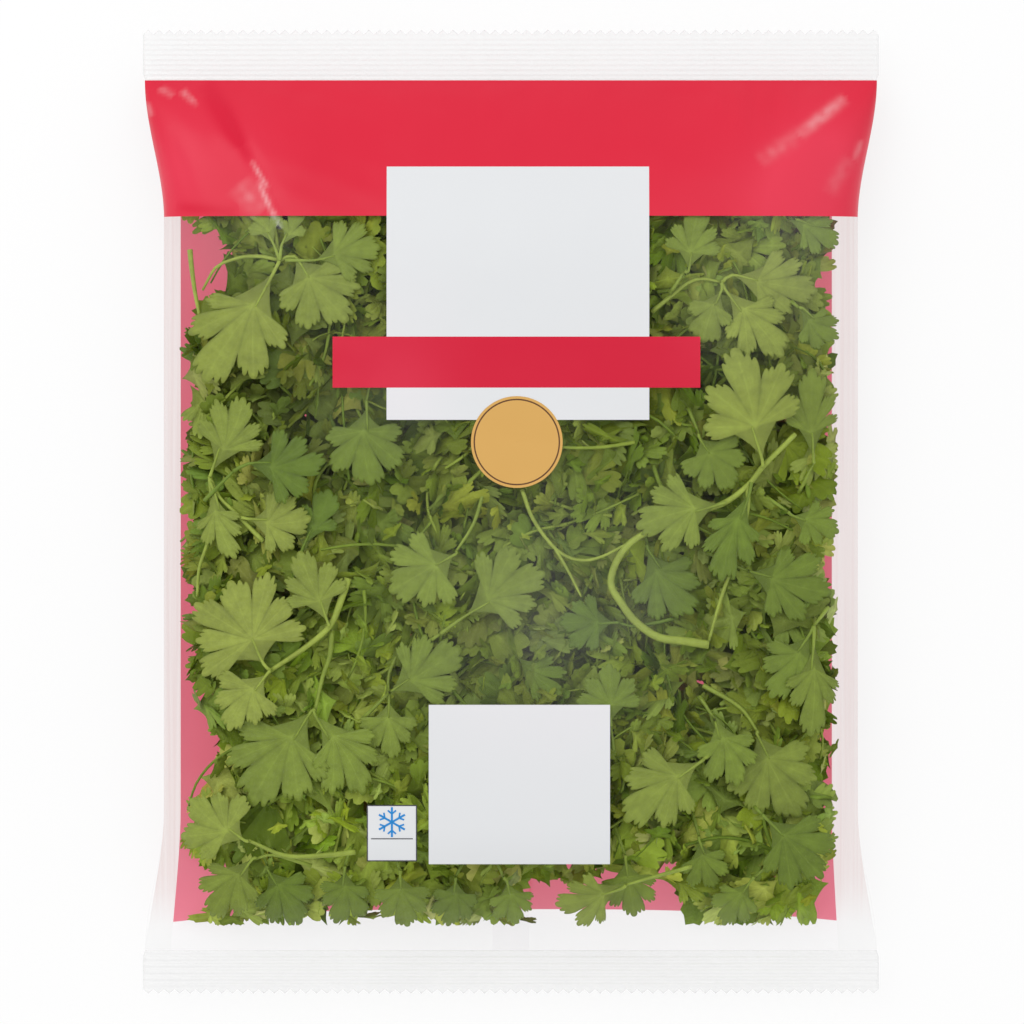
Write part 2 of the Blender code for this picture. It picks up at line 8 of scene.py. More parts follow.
import bpy
import numpy as np
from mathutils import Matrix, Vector


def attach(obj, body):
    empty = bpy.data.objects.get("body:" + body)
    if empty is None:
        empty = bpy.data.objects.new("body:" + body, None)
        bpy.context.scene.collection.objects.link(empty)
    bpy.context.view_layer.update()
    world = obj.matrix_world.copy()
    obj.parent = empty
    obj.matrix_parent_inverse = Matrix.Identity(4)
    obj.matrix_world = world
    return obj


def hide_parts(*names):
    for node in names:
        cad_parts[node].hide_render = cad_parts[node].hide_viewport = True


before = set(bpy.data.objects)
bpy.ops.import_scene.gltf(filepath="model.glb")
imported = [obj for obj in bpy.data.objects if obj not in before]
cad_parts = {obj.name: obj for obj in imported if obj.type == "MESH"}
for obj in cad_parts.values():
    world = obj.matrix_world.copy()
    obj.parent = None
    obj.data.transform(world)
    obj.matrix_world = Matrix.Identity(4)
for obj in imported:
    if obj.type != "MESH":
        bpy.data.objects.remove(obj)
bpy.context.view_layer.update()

MM = 0.001
SEED = 5

# The bag, as in the part
BAG_WIDTH = 200.0
BAG_LENGTH = 262.0
TOP_SEAM = 117.2
LOW_SEAM = -119.2
SEAL_HEIGHT = 8.0
WAIST_HALF = 94.2
FOLD_HALF = 99.5
SIDE_FOLD_HEIGHT = 12.0
RISE = 19.0
SAG = 12.6
TOP_TAPER = 60.0
LOW_TAPER = 35.0
FLARE = 38.0
PLY_HALF = 0.8
STRAIGHT_HALF = 55.0
FLARE_CURVE = 6.0
LAP_END = 5.0
LAP_LIFT = 0.6
SIDE_LIMIT = 0.965
END_LIMIT = 6.6

# The film as it is drawn here
FRONT_STEP = 1.6
BACK_STEP = 4.0
INK_LIFT = 0.06
WAVES_SUMMED = 14
TEETH = 70
TOOTH_DEPTH = 1.2
TOP_RIDGE_PITCH = 1.38
LOW_RIDGE_PITCH = 1.8
TOP_RIDGE_HEIGHT = 0.13
LOW_RIDGE_HEIGHT = 0.3
SEAL_SKIN = 0.12
RING_STEPS = 72
FLOOR_HALF, FLOOR_GAP = 3.0, 0.0002

# Print on the film, as left, right, low and high edges
BAND_LOW = 80.0
LABEL = (-33.6, 37.4, 24.8, 93.4)
STRIP = (-48.2, 51.2, 33.5, 47.3)
PANEL = (-22.2, 26.8, -95.3, -52.2)
MARK = (-38.8, -25.5, -94.4, -79.4)
BADGE_CENTRE = (1.6, 18.8)
BADGE_RADIUS = 12.4
BACK_LEFT = -89.8
BACK_RIGHT = 87.3
BACK_LOW = -108.2

# Leaves
BLADE_THICKNESS = 0.25
STALK_RADIUS = 0.55
THIN_STEM = 0.62
# The sprigs with thicker stems
STEM_RADII = {
    "looped": (1.2, 0.6, 0.5, 0.7),
    "great_fan": (1.05,),
    "top_left": (0.7, 0.6, 0.75),
    "left": (0.75, 0.7),
    "lower_left": (0.85,),
    "right_upper": (0.7,),
    "corner_left": (0.8,),
    "low_right": (0.75,),
}
STEM_TAPER = 0.55
STALK_END = 0.22
STALK_INTO_BLADE = 0.3
LEAF_LIFT = 1.3
LEAF_STAGGER = 0.25
FILM_GAP = 0.4
STEM_DIP = 2.2

# The grid that notes how deep the front sprigs reach
CELL = 4
CELLS = (70, 54)
CELLS_LOW, CELLS_LEFT = -140, -108

# Colours, linear RGB
RED_INK = (0.725, 0.014, 0.044)
STRIP_INK = (0.655, 0.006, 0.036)
WHITE_INK = (0.755, 0.77, 0.785)
BACK_INK = (0.83, 0.165, 0.235)
BACK_INK_LOW = (0.90, 0.245, 0.33)
BACK_INK_PALES = (-0.068, -0.098)
SMALL_INKS = {
    "gold_ink": (0.70, 0.40, 0.11),
    "brown_ink": (0.12, 0.05, 0.02),
    "blue_ink": (0.02, 0.26, 0.66),
    "dark_ink": (0.05, 0.05, 0.06),
}
LEAF_LIGHT = (0.265, 0.318, 0.050)
LEAF_MID = (0.170, 0.236, 0.026)
LEAF_DEEP = (0.092, 0.158, 0.009)
STEM_LIGHT = (0.32, 0.40, 0.06)
STEM_DEEP = (0.13, 0.21, 0.02)
VEIN_GAIN = (0.018, 0.021, 0.007)
# Ink under hazy film is this much paler, in a scuff or painted highlight this much whiter, and in painted
# crease shade it keeps these shares; film in a scuff or painted highlight is this much milkier
HAZE_GAIN = (0.06, 0.022, 0.034)
SCUFF_AND_HIGHLIGHT_INK = 0.28
CREASE_SHADE = (0.93, 0.4, 0.8)
SCUFF_AND_HIGHLIGHT_FILM = 0.3
MILKY_WHITE = (0.95, 0.95, 0.95, 1.0)
PLAIN_SIDE = (0.96, 0.96, 0.96, 1.0)
STREAK_SCALE = (900.0, 12.0, 1.0)


def lone(stem, *leaf):
    """A sprig of one stem with one leaf at its end."""
    return [stem], [(stem[-1], *leaf)]


# The sprigs against the front of the bag, as in the part: stems as points from the cut end, and leaves as
# the start of the stalk, the blade's base, its tip, its half spread in degrees and its tone, from 0, light,
# to 1, deep green.
FRONT_SPRIGS = {
    "top_left": (
        [
            [(-64.5, 80), (-63.5, 74), (-62.5, 68)],
            [(-62.5, 68), (-67, 69), (-72, 69), (-76, 68), (-80, 66), (-83.5, 60)],
            [(-87, 71), (-86.5, 66), (-85.5, 59), (-84, 51.5)],
        ],
        [
            ((-62.5, 68), (-58.5, 69), (-45.5, 50), 48, 0.2),
            ((-61, 68), (-53, 68), (-35, 72), 44, 0.4),
            ((-62.5, 68), (-64, 65), (-81, 33), 31, 0.05),
            ((-62.5, 68), (-64, 72), (-70, 84), 36, 0.3),
            ((-62.5, 68), (-62, 72), (-57, 83), 28, 0.35),
        ],
    ),
    "left": (
        [
            [(-67, -8), (-71, -4), (-75, 0), (-79, 4), (-81.5, 9.5)],
            [(-81.5, 9.5), (-81, 1.5), (-82, -7.5), (-84.5, -15.5), (-85, -23)],
        ],
        [
            ((-81.5, 9.5), (-81, 11), (-74, 32), 38, 0.25),
            ((-73, -1.5), (-71, -2), (-54, -2.5), 50, 0.08),
            ((-81.5, 8), (-80.5, 6), (-75, -13), 28, 0.2),
        ],
    ),
    "great_fan": (
        [[(-44, -18), (-46, -24), (-49, -31), (-56, -37), (-65, -43)]],
        [
            ((-65, -43), (-67, -41), (-77, -19), 76, 0.0),
            ((-65, -43), (-66, -44), (-77, -59), 44, 0.05),
            ((-49, -31), (-49.5, -30), (-56, -10), 36, 0.2),
        ],
    ),
    "looped": (
        [
            [
                (53.5, -36), (47, -35), (40, -34), (34, -30), (30, -25), (27, -19), (30, -11), (36, -6),
                (47, -1), (57, 2), (64, 7), (68, 12), (72, 16), (77, 21),
            ],
            [(3, 6), (6, -2), (12, -10), (18, -13), (25, -12), (36, -6)],
            [(12, -10), (16, -17), (19, -23)],
            [(64, 7), (64, 1), (62, -8), (59, -17), (56, -26), (53.5, -35)],
        ],
        [
            ((58, 2.5), (56.5, 2), (34, -5), 42, 0.35),
            ((68, 12), (68, 14), (58.5, 44), 41, 0.08),
            ((65, 8), (64.5, 5), (57, -19), 27, 0.75),
        ],
    ),
    "right_upper": (
        [[(38, 54), (43, 58), (48, 62), (52, 63), (57, 62)]],
        [
            ((57, 62), (60, 64), (83, 59), 35, 0.12),
            ((57, 62), (58, 60), (72.5, 40.5), 30, 0.12),
            ((57, 62), (57, 60), (51, 46), 34, 0.3),
        ],
    ),
    "lower_left": (
        [[(-48.5, -32), (-49, -39), (-51, -45), (-53, -54)]],
        [((-53, -54), (-54, -54), (-70, -80), 40, 0.42), ((-53, -54), (-53, -55), (-40, -77), 34, 0.45)],
    ),
    "centre": lone([(-22, -35), (-19, -33)], (-12, -28), (9, -16), 45, 0.42),
    "centre_left": lone([(-7, 7), (-10, -3), (-15, -11)], (-15, -11.5), (-33, -21.5), 50, 0.42),
    "centre_low": lone([(-40, -56), (-33, -49)], (-33, -49), (-14, -36), 46, 0.5),
    "left_dark": lone([(-83, 3), (-78, 8), (-75, 11)], (-71, 13), (-50, 14), 48, 0.85),
    "label_left": lone([(-36, 44), (-38, 35), (-39, 30)], (-39, 28), (-38, 7), 53, 0.6),
    "narrow": lone([(-60, -21), (-57, -12)], (-56, -9), (-49, 6), 30, 0.9),
    "left_of_panel": lone([(-30, -37), (-33, -44), (-33, -49)], (-33, -51), (-33, -67), 53, 0.42),
    "corner_left": lone([(-42, -92), (-51, -93), (-61, -93), (-71, -89)], (-72, -89), (-87, -78), 60, 0.15),
    "corner_low": lone([(-54, -96), (-64, -93), (-69, -94)], (-70, -94), (-81, -110), 41, 0.35),
    "bottom_left": lone([(-69, -88), (-66, -96)], (-66, -97), (-57, -112), 42, 0.75),
    "dark_centre": lone([(44, -29), (34, -31), (29, -30)], (28, -30), (13, -31), 51, 0.92),
    "band_edge": lone([(43, 59), (47, 65)], (48, 65), (51, 82), 40, 0.42),
    "hazy": lone([(48, 28), (51, 21)], (51, 20), (60, 6), 55, 0.55),
    "inside_loop": lone([(36, -5), (37, -9)], (37, -10), (49, -28), 42, 0.78),
    "right": lone([(53, -11), (64, -16)], (64, -16), (87, -22), 39, 0.65),
    "right_edge": lone([(69, 4), (75, 0)], (76, -1), (89, -6), 43, 0.6),
    "right_upright": lone([(78, 5), (82, 13)], (82, 14), (81, 39), 26, 0.42),
    "right_lower": (
        [[(86, -26), (82, -31)]],
        [((82, -31), (81, -33), (69.5, -50), 38, 0.58), ((82, -31), (82, -35), (80, -61), 24, 0.4)],
    ),
    "over_panel": lone([(28, -67), (27, -58)], (27, -57), (26, -41), 58, 0.62),
    "panel_right": lone([(53.5, -66), (52, -67)], (51.5, -67.5), (30, -83), 38, 0.25),
    "low_middle": lone([(51, -50), (55, -56)], (55, -56), (60, -75), 42, 0.5),
    "low_right": lone([(52, -47), (62, -53), (67, -60)], (66.5, -60), (78, -83), 48, 0.3),
    "corner_right": lone([(66, -80), (68, -82)], (69, -83), (85, -99), 47, 0.7),
    "bottom_right": lone([(49, -96), (38, -99), (31, -101)], (30, -102), (12, -108), 36, 0.25),
    "under_panel": lone([(28, -85), (31, -93)], (31, -94), (33, -110), 47, 0.5),
    "bottom_edge": lone([(72, -94), (66, -99)], (65, -100), (57, -112), 41, 0.6),
    "bottom_inner": lone([(49, -81), (51, -88)], (51, -89), (56, -102), 48, 0.6),
    "bottom_a": lone([(-43, -90), (-45, -96)], (-45, -97), (-47, -112), 47, 0.65),
    "bottom_b": lone([(-32, -91), (-30, -97)], (-30, -98), (-29, -113), 47, 0.55),
    "bottom_c": lone([(-12, -93), (-15, -99)], (-15, -100), (-17, -113), 50, 0.7),
    "bottom_d": lone([(-4, -94), (-2, -99)], (-1, -100), (1, -112), 50, 0.6),
    "band_right": lone([(75, 80), (77, 79)], (78, 79), (92, 73), 39, 0.6),
    "edge_upper": lone([(76, 57), (78, 55)], (79, 55), (89, 46), 43, 0.55),
}

# A lobe's rim from its middle, 0, to its edge, 1: how far each point reaches as a share of the lobe's tip,
# and which tooth it belongs to
LOBE_RIM = (
    (0.0, 1.0, 0), (0.09, 0.994, 0), (0.17, 0.972, 0), (0.23, 0.935, 0), (0.265, 0.885, 0),
    (0.30, 0.91, 1), (0.37, 0.95, 1), (0.45, 0.955, 1), (0.52, 0.925, 1), (0.565, 0.86, 1),
    (0.60, 0.875, 2), (0.68, 0.91, 2), (0.77, 0.90, 2), (0.85, 0.85, 2), (0.91, 0.79, 2),
    (0.96, 0.70, 2), (1.0, 0.0, 2),
)
RINGS = (0.2, 0.42, 0.62, 0.79, 0.91, 1.0)
FILL_RIM = (
    (0.0, 1.0, 0), (0.15, 0.97, 0), (0.27, 0.85, 0), (0.40, 0.94, 1), (0.58, 0.93, 1),
    (0.74, 0.82, 1), (0.90, 0.66, 1), (1.0, 0.0, 1),
)
DEEP_RIM = ((0.0, 1.0, 0), (0.25, 0.88, 0), (0.5, 0.92, 1), (0.75, 0.7, 1), (1.0, 0.0, 1))
FILL_RINGS = (0.35, 0.72, 1.0)
DEEP_RINGS = (0.5, 1.0)
# How far along a blade its lobes meet, and its half width as a share of its length by its half spread
MEETING = 0.29
HALF_WIDTHS = ((24.0, 34.0, 48.0, 76.0), (0.27, 0.38, 0.47, 0.64))
LOBED_BEYOND = 45.0
# Half spread times length, below which a leaf has 3 lobes, and above which it has 7
SMALL_LEAF, LARGE_LEAF = 550, 1500
TAIL = (0.22, 0.45, 0.7)
TAIL_CURVE = 1.5

# Places with no fill, where the back of the bag shows: x, y and the two half sizes
CLEARINGS = (
    (-86, 67, 9, 14), (-90, -28, 3, 8),
    (-87.5, -66, 7, 13), (-86, -101, 7, 9),
    (86.5, 61, 3.5, 9), (86, -104, 4, 7),
    (24, -104, 24, 4),
)
LEAVES_LEFT, LEAVES_RIGHT = -90.0, 89.0
# Places where the fill is painted lighter, against the shade deep among the leaves, or, below 0, darker: x,
# y, the two half sizes and by how much
PAINTED_LIGHT_PATCHES = (
    (-48, -70, 28, 34, 0.5), (-57, 27, 10, 22, -0.4),
    (-42, -37, 14, 12, 0.35), (-38, 64, 10, 16, 0.4),
    (41, 68, 8, 14, 0.35),
)
# Painted light against the shade deep in the bag: the fill is this much lighter for each millimetre of
# depth, from this depth and over so many more
DEPTH_PAINTED_LIGHT = (0.088, 0.07, 0.15)
GAIN_FROM, GAIN_OVER = 2.0, 8.0

# A leaf of the fill is left out where more than this share of it lies in a clearing, and near the sides it
# stands in by up to this much
CLEARED = 0.12
RAGGED = 4
LIGHT_SHARE = 0.05
FILL_AREA = (-90, 85, -113, 84)
FILL_SPREADS = (34, 60)
FILL_LOBES = (3, 5, 5)
FILL_STEMS = 170
SIDE_FROM, END_FROM = 74, -96
# The layers of loose leaves behind the front sprigs: name, spacing, sizes, depths behind the sprigs, tones,
# shade, share left out near the sides, flatness, rim and rings
FILL_LAYERS = (
    ("fill_frill", 5.8, (5, 10), (0.0, 3.0), (0.3, 0.9), 1.12, 0.2, (0.2, 0.75), DEEP_RIM, DEEP_RINGS),
    ("fill_upper", 8.6, (14, 24), (0.4, 4.0), (0.4, 0.85), 1.10, 0.15, (0.5, 1.0), FILL_RIM, FILL_RINGS),
    ("fill_middle", 7.8, (12, 22), (3.0, 7.0), (0.5, 1.0), 1.15, 0.35, (0.35, 1.0), FILL_RIM, FILL_RINGS),
    ("fill_deep", 6.4, (14, 22), (6.0, 15.0), (0.8, 1.0), 1.15, 0.45, (0.35, 1.0), DEEP_RIM, DEEP_RINGS),
)


def smooth(t):
    t = np.clip(t, 0.0, 1.0)
    return t * t * (3 - 2 * t)


# Shape of the film


def fullness(y):
    from_top = np.clip((TOP_SEAM - y) / TOP_TAPER, 0.0, 1.0)
    from_low = np.clip((y - LOW_SEAM) / LOW_TAPER, 0.0, 1.0)
    return (1 - (1 - from_top) ** 2.4) * (1 - (1 - from_low) ** 2.4)


def half_width(y):
    to_top = smooth((y - (TOP_SEAM - FLARE)) / FLARE)
    to_low = smooth((LOW_SEAM + FLARE - y) / FLARE)
    return WAIST_HALF + (FOLD_HALF - WAIST_HALF) * (to_top + to_low)


def side_height(y):
    return SEAL_HEIGHT + (SIDE_FOLD_HEIGHT - SEAL_HEIGHT) * fullness(y)


def across(x, y):
    share = np.clip(np.abs(x) / half_width(y), 0.0, 1.0)
    squareness = 4.0 + 36.0 * (1 - fullness(y)) ** 2
    return np.sqrt(1 - share**squareness)


def film_high(x, y):
    return side_height(y) + (PLY_HALF + RISE * fullness(y)) * across(x, y)


def film_low(x, y):
    free = side_height(y) - (PLY_HALF + SAG * fullness(y)) * across(x, y)
    return np.maximum(free, 0.0)


def waves(x, y, wavelength, seed):
    """Smooth noise from -1 to 1: a sum of sine waves in random directions."""
    random = np.random.default_rng(seed)
    total = 0.0
    for _ in range(WAVES_SUMMED):
        heading = random.uniform(0, math.tau)
        length = wavelength * random.uniform(0.7, 1.5)
        phase = random.uniform(0, math.tau)
        along = x * math.cos(heading) + y * math.sin(heading)
        total += np.sin(math.tau * along / length + phase)
    return total / math.sqrt(WAVES_SUMMED) / 1.6


# Creases in the front film, as start, end, half width and height
CREASES = (
    ((-84, 113), (-71, 92), 2.6, 0.35), ((-78, 114), (-62, 80), 1.6, -0.35),
    ((-69, 94), (-62, 78), 1.0, 0.35), ((-72, 84), (-60, 74), 1.6, 0.25),
    ((92, 112), (64, 86), 4.5, 0.3), ((96, 100), (86, 82), 2.5, -0.3),
    ((-93, 104), (-86, 84), 2.2, -0.3), ((-96, -112), (-84, -84), 2.4, 0.3),
    ((96, -112), (85, -84), 2.4, 0.3),
)


def crease_profile(x, y, start, end, reach):
    """1 on the line from start to end and 0 away from it, fading at both ends."""
    (ax, ay), (bx, by) = start, end
    dx, dy = bx - ax, by - ay
    t = ((x - ax) * dx + (y - ay) * dy) / (dx * dx + dy * dy)
    held = np.clip(t, 0.0, 1.0)
    away = np.hypot(x - ax - held * dx, y - ay - held * dy)
    fade = np.sqrt(np.clip(4 * held * (1 - held), 0.0, 1.0))
    return np.exp(-((away / reach) ** 2)) * fade


# Scuffs, painted glints and highlights, and painted shade on crease facets on the front, as start, end, half
# width and strength: those below 0 are darker, most of them painted shade on a crease's facets
SCUFFS_AND_PAINTED_LIGHT = (
    ((-95.5, 115), (-91.5, 113), 0.9, 0.5), ((-89.5, 114.5), (-84.5, 110), 0.9, 0.55),
    ((-98.4, 111), (-97.6, 107), 0.7, 0.5), ((-83.5, 117), (-73, 99), 2.9, -1.3),
    ((-77, 106), (-70.6, 94.5), 1.3, -0.9), ((-70.8, 96), (-65.5, 87), 0.55, 0.8),
    ((-68.5, 90), (-63.6, 78.5), 0.55, 0.9), ((-64.2, 81.5), (-62.2, 76.5), 0.5, 0.6),
    ((-74, 89), (-67, 81), 3.2, 0.3), ((-91, 82.5), (-74, 81), 1.7, -0.9),
    ((78, 102), (91, 112.5), 1.4, 0.8), ((67, 94.5), (79, 103), 2.0, 0.25),
    ((92, 96), (86, 86), 1.8, 0.2), ((95.2, 101), (93.2, 95), 0.8, 0.4),
)


def scuff_and_painted_light(x, y):
    """From 0, darker with painted shade, through 0.5, plain, to 1, whitened by scuffs and painted
    highlights.
    """
    total = 0.0
    for start, end, reach, strength in SCUFFS_AND_PAINTED_LIGHT:
        total += strength * crease_profile(x, y, start, end, reach)
    patchy = np.where(total > 0, 1 + 0.45 * waves(x, y, 3.6, 6), 1.0)
    return np.clip(0.5 + 0.5 * total * patchy, 0.0, 1.0)


def patches(x, y, places):
    """Soft oval patches added up, each given by its middle, its two half sizes and its strength."""
    total = 0.0
    for cx, cy, rx, ry, strength in places:
        total += strength * np.exp(-(((x - cx) / rx) ** 2) - ((y - cy) / ry) ** 2)
    return total


# Milky patches of the front film
HAZES = (
    (12, -24, 34, 34, 1.15), (68, 62, 24, 26, 0.7),
    (-34, 34, 17, 24, 0.6), (-62, 66, 20, 16, 0.3),
    (-84, 92, 14, 16, 1.0), (84, 90, 20, 18, 1.0),
)


def haze_amount(x, y):
    """How milky the front film is: broad soft patches, mostly over the middle."""
    return np.clip((0.03 + patches(x, y, HAZES)) * (1 + 0.35 * waves(x, y, 30.0, 4)), 0.0, 1.0)


def wrinkles(x, y):
    """The front film's relief: soft dents from the leaves, creases, and puckers beside the seals."""
    relief = 0.35 * waves(x, y, 26.0, 1) + 0.16 * waves(x, y, 11.0, 2)
    flat = np.zeros_like(relief)
    for left, right, low, high in (LABEL, PANEL):
        inside_x = smooth((x - left + 6) / 6) * smooth((right + 6 - x) / 6)
        inside_y = smooth((y - low + 6) / 6) * smooth((high + 6 - y) / 6)
        flat = np.maximum(flat, inside_x * inside_y)
    relief = relief * (1 - 0.75 * flat) * smooth((WAIST_HALF - np.abs(x)) / 12)
    for start, end, reach, height in CREASES:
        relief += height * crease_profile(x, y, start, end, reach)
    from_top, from_low = TOP_SEAM - y, y - LOW_SEAM
    folds = waves(x, y * 0.12, 7.0, 3)
    relief += 0.28 * folds * (np.exp(-from_top / 9.0) + np.exp(-from_low / 12.0))
    return relief * (smooth(from_top / 5.0) * smooth(from_low / 5.0))


def front_surface(x, y):
    return film_high(x, y) + wrinkles(x, y)


# Mesh helpers


def towards(start, reach, turn):
    return start[0] + reach * math.cos(turn), start[1] + reach * math.sin(turn)


def place_object(name, data):
    obj = bpy.data.objects.new(name, data)
    bpy.context.scene.collection.objects.link(obj)
    return obj


def to_object(name, vertices, faces, materials, slots=None, colours=None):
    """A mesh object from points in millimetres, riding on the bag."""
    mesh = bpy.data.meshes.new(name)
    mesh.from_pydata((np.asarray(vertices, float) * MM).tolist(), [], faces)
    for material in materials:
        mesh.materials.append(material)
    if slots is not None:
        mesh.polygons.foreach_set("material_index", np.asarray(slots, np.int32))
    if colours is not None:
        tint = mesh.color_attributes.new("tint", "FLOAT_COLOR", "POINT")
        rgba = np.ones((len(vertices), 4), np.float32)
        rgba[:, :3] = colours
        tint.data.foreach_set("color", rgba.ravel())
    mesh.shade_smooth()
    mesh.update()
    obj = place_object(name, mesh)
    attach(obj, "root")
    return obj


def grid_faces(rows, columns, flip=False, closed=False, first=0):
    """The faces between rows of points, each row an open line or a closed ring."""
    faces = []
    for i in range(rows - 1):
        for j in range(columns if closed else columns - 1):
            a, b = first + i * columns + j, first + i * columns + (j + 1) % columns
            c, d = b + columns, a + columns
            faces.append((a, d, c, b) if flip else (a, b, c, d))
    return faces


def stops(low, high, step, marks=()):
    """Positions from low to high, about step apart, with one exactly on each mark."""
    fixed = sorted({low, high, *(m for m in marks if low < m < high)})
    found = []
    for a, b in zip(fixed, fixed[1:]):
        count = max(1, round((b - a) / step))
        found += [a + (b - a) * k / count for k in range(count)]
    return found + [high]


def inside(box, x, y):
    left, right, low, high = box
    return left < x < right and low < y < high


# Materials


def new_material(name):
    material = bpy.data.materials.new(name)
    material.use_nodes = True
    tree = material.node_tree
    return material, tree, tree.nodes["Principled BSDF"], tree.nodes["Material Output"]


def feed(tree, socket, value):
    """Links an output to this input, or sets the input to a plain value."""
    if hasattr(value, "is_output"):
        tree.links.new(value, socket)
    else:
        socket.default_value = value


def feed_named(tree, node, values):
    for name, value in values.items():
        feed(tree, node.inputs[name], value)


def add(tree, kind, *inputs, **settings):
    """A new shader node's first output. The settings are fed or set by name, the inputs in their order."""
    node = tree.nodes.new("ShaderNode" + kind)
    for name, value in settings.items():
        if name in node.inputs:
            feed(tree, node.inputs[name], value)
        else:
            setattr(node, name, value)
    for socket, value in zip(node.inputs, inputs):
        feed(tree, socket, value)
    return node.outputs[0]


def mix_colour(tree, factor, first, second):
    node = tree.nodes.new("ShaderNodeMix")
    node.data_type = "RGBA"
    for number, value in ((0, factor), (6, first), (7, second)):
        feed(tree, node.inputs[number], value)
    return node.outputs[2]


def mix_shaders(tree, factor, first, second):
    return add(tree, "MixShader", factor, first, second)


def object_place(tree):
    return tree.nodes.new("ShaderNodeTexCoord").outputs["Object"]


def noise(tree, scale, detail=2.0, roughness=0.5, place=None):
    if place is None:
        place = object_place(tree)
    return add(tree, "TexNoise", Vector=place, Scale=scale, Detail=detail, Roughness=roughness)


def ramp(tree, source, low, high, start=0.0, end=1.0):
    return add(tree, "MapRange", source, low, high, start, end)


def painted(tree):
    return add(tree, "VertexColor", layer_name="tint")


def wear_and_light_channels(tree):
    """The film's two painted amounts: its scuffs with painted highlights and painted shade, and its haze."""
    parts = tree.nodes.new("ShaderNodeSeparateColor")
    feed(tree, parts.inputs[0], painted(tree))
    return parts.outputs[0], parts.outputs[1]


def opaque(colour):
    return (*colour, 1.0)


def whitened(colour, share):
    return tuple(c + (1 - c) * share for c in colour)


def ink_material(name, colour, roughness=0.36, shade=0.94, worn_and_lit=True):
    """Ink printed on glossy film: a little uneven, paler where hazy, scuffed or painted with a highlight,
    darker under painted crease shade.
    """
    material, tree, shader, _ = new_material(name)
    darker = tuple(c * shade for c in colour)
    base = mix_colour(tree, noise(tree, 22.0, 3.0), opaque(darker), opaque(colour))
    if worn_and_lit:
        scuff_and_light, milk = wear_and_light_channels(tree)
        hazed = [c + gain for c, gain in zip(colour, HAZE_GAIN)]
        deeper = [c * share for c, share in zip(colour, CREASE_SHADE)]
        base = mix_colour(tree, milk, base, opaque(hazed))
        # Scuffs and painted highlights whiten the ink
        base = mix_colour(tree, ramp(tree, scuff_and_light, 0.5, 1.0), base, opaque(whitened(colour, SCUFF_AND_HIGHLIGHT_INK)))
        # Painted shade on crease facets darkens the ink
        base = mix_colour(tree, ramp(tree, scuff_and_light, 0.5, 0.0), base, opaque(deeper))
    gloss = ramp(tree, noise(tree, 60.0), 0.3, 0.7, roughness - 0.05, roughness + 0.05)
    feed_named(tree, shader, {"Base Color": base, "Roughness": gloss, "Specular IOR Level": 0.25})
    return material


def back_ink_material():
    """The back's ink, paler low down, which the light from below shines through."""
    material, tree, shader, output = new_material("back_ink")
    base = mix_colour(tree, noise(tree, 18.0, 3.0), opaque(BACK_INK), opaque(whitened(BACK_INK, 0.06)))
    height = tree.nodes.new("ShaderNodeSeparateXYZ")
    feed(tree, height.inputs[0], object_place(tree))
    base = mix_colour(tree, ramp(tree, height.outputs["Y"], *BACK_INK_PALES), base, opaque(BACK_INK_LOW))
    feed_named(tree, shader, {"Base Color": base, "Roughness": 0.4})
    lit = add(tree, "BsdfTranslucent", Color=base)
    feed(tree, output.inputs["Surface"], mix_shaders(tree, 0.7, shader.outputs[0], lit))
    return material


def side_streak_highlights(tree, passes):
    """What the back's clear sides let through: a painted pink reflection of the print nearby, with fine
    streaks of painted highlight along the bag, fading at the low end.
    """
    place = add(tree, "Mapping", Vector=object_place(tree), Scale=STREAK_SCALE)
    amount = ramp(tree, noise(tree, 1.0, place=place), 0.35, 0.65)
    streaked = mix_colour(tree, amount, opaque(passes), opaque(whitened(passes, 0.3)))
    return mix_colour(tree, painted(tree), PLAIN_SIDE, streaked)


def film_material(name, haze, edge, gloss_share, passes=(1.0, 1.0, 1.0), worn_and_lit=False, painted_side_light=False):
    """Clear film: nearly all passes through, with a little white haze and gloss, more of both at a slant."""
    material, tree, shader, output = new_material(name)
    tree.nodes.remove(shader)
    through = side_streak_highlights(tree, passes) if painted_side_light else opaque(passes)
    clear = add(tree, "BsdfTransparent", Color=through)
    milky = add(tree, "BsdfDiffuse", Color=MILKY_WHITE)
    gloss = add(tree, "BsdfGlossy", Roughness=0.16)
    surface = mix_shaders(tree, gloss_share, milky, gloss)
    slant = tree.nodes.new("ShaderNodeLayerWeight")
    slant.inputs["Blend"].default_value = 0.2
    at_slant = ramp(tree, slant.outputs["Facing"], 0.05, 1.0, 0.0, edge)
    if worn_and_lit:
        scuff_and_light, milk = wear_and_light_channels(tree)
        cloudy = ramp(tree, noise(tree, 40.0, 3.0), 0.3, 0.7, 0.7 * haze, 1.3 * haze)
        hazy = add(tree, "Math", milk, cloudy, operation="MULTIPLY")
        # Scuffs and painted highlights make the film milkier
        scuffed_and_lit = ramp(tree, scuff_and_light, 0.5, 1.0)
        everywhere = add(tree, "Math", scuffed_and_lit, SCUFF_AND_HIGHLIGHT_FILM, hazy, operation="MULTIPLY_ADD")
    else:
        everywhere = ramp(tree, noise(tree, 40.0), 0.3, 0.7, 0.8 * haze, 1.2 * haze)
    amount = add(tree, "Math", at_slant, everywhere, operation="ADD")
    feed(tree, output.inputs["Surface"], mix_shaders(tree, amount, clear, surface))
    return material


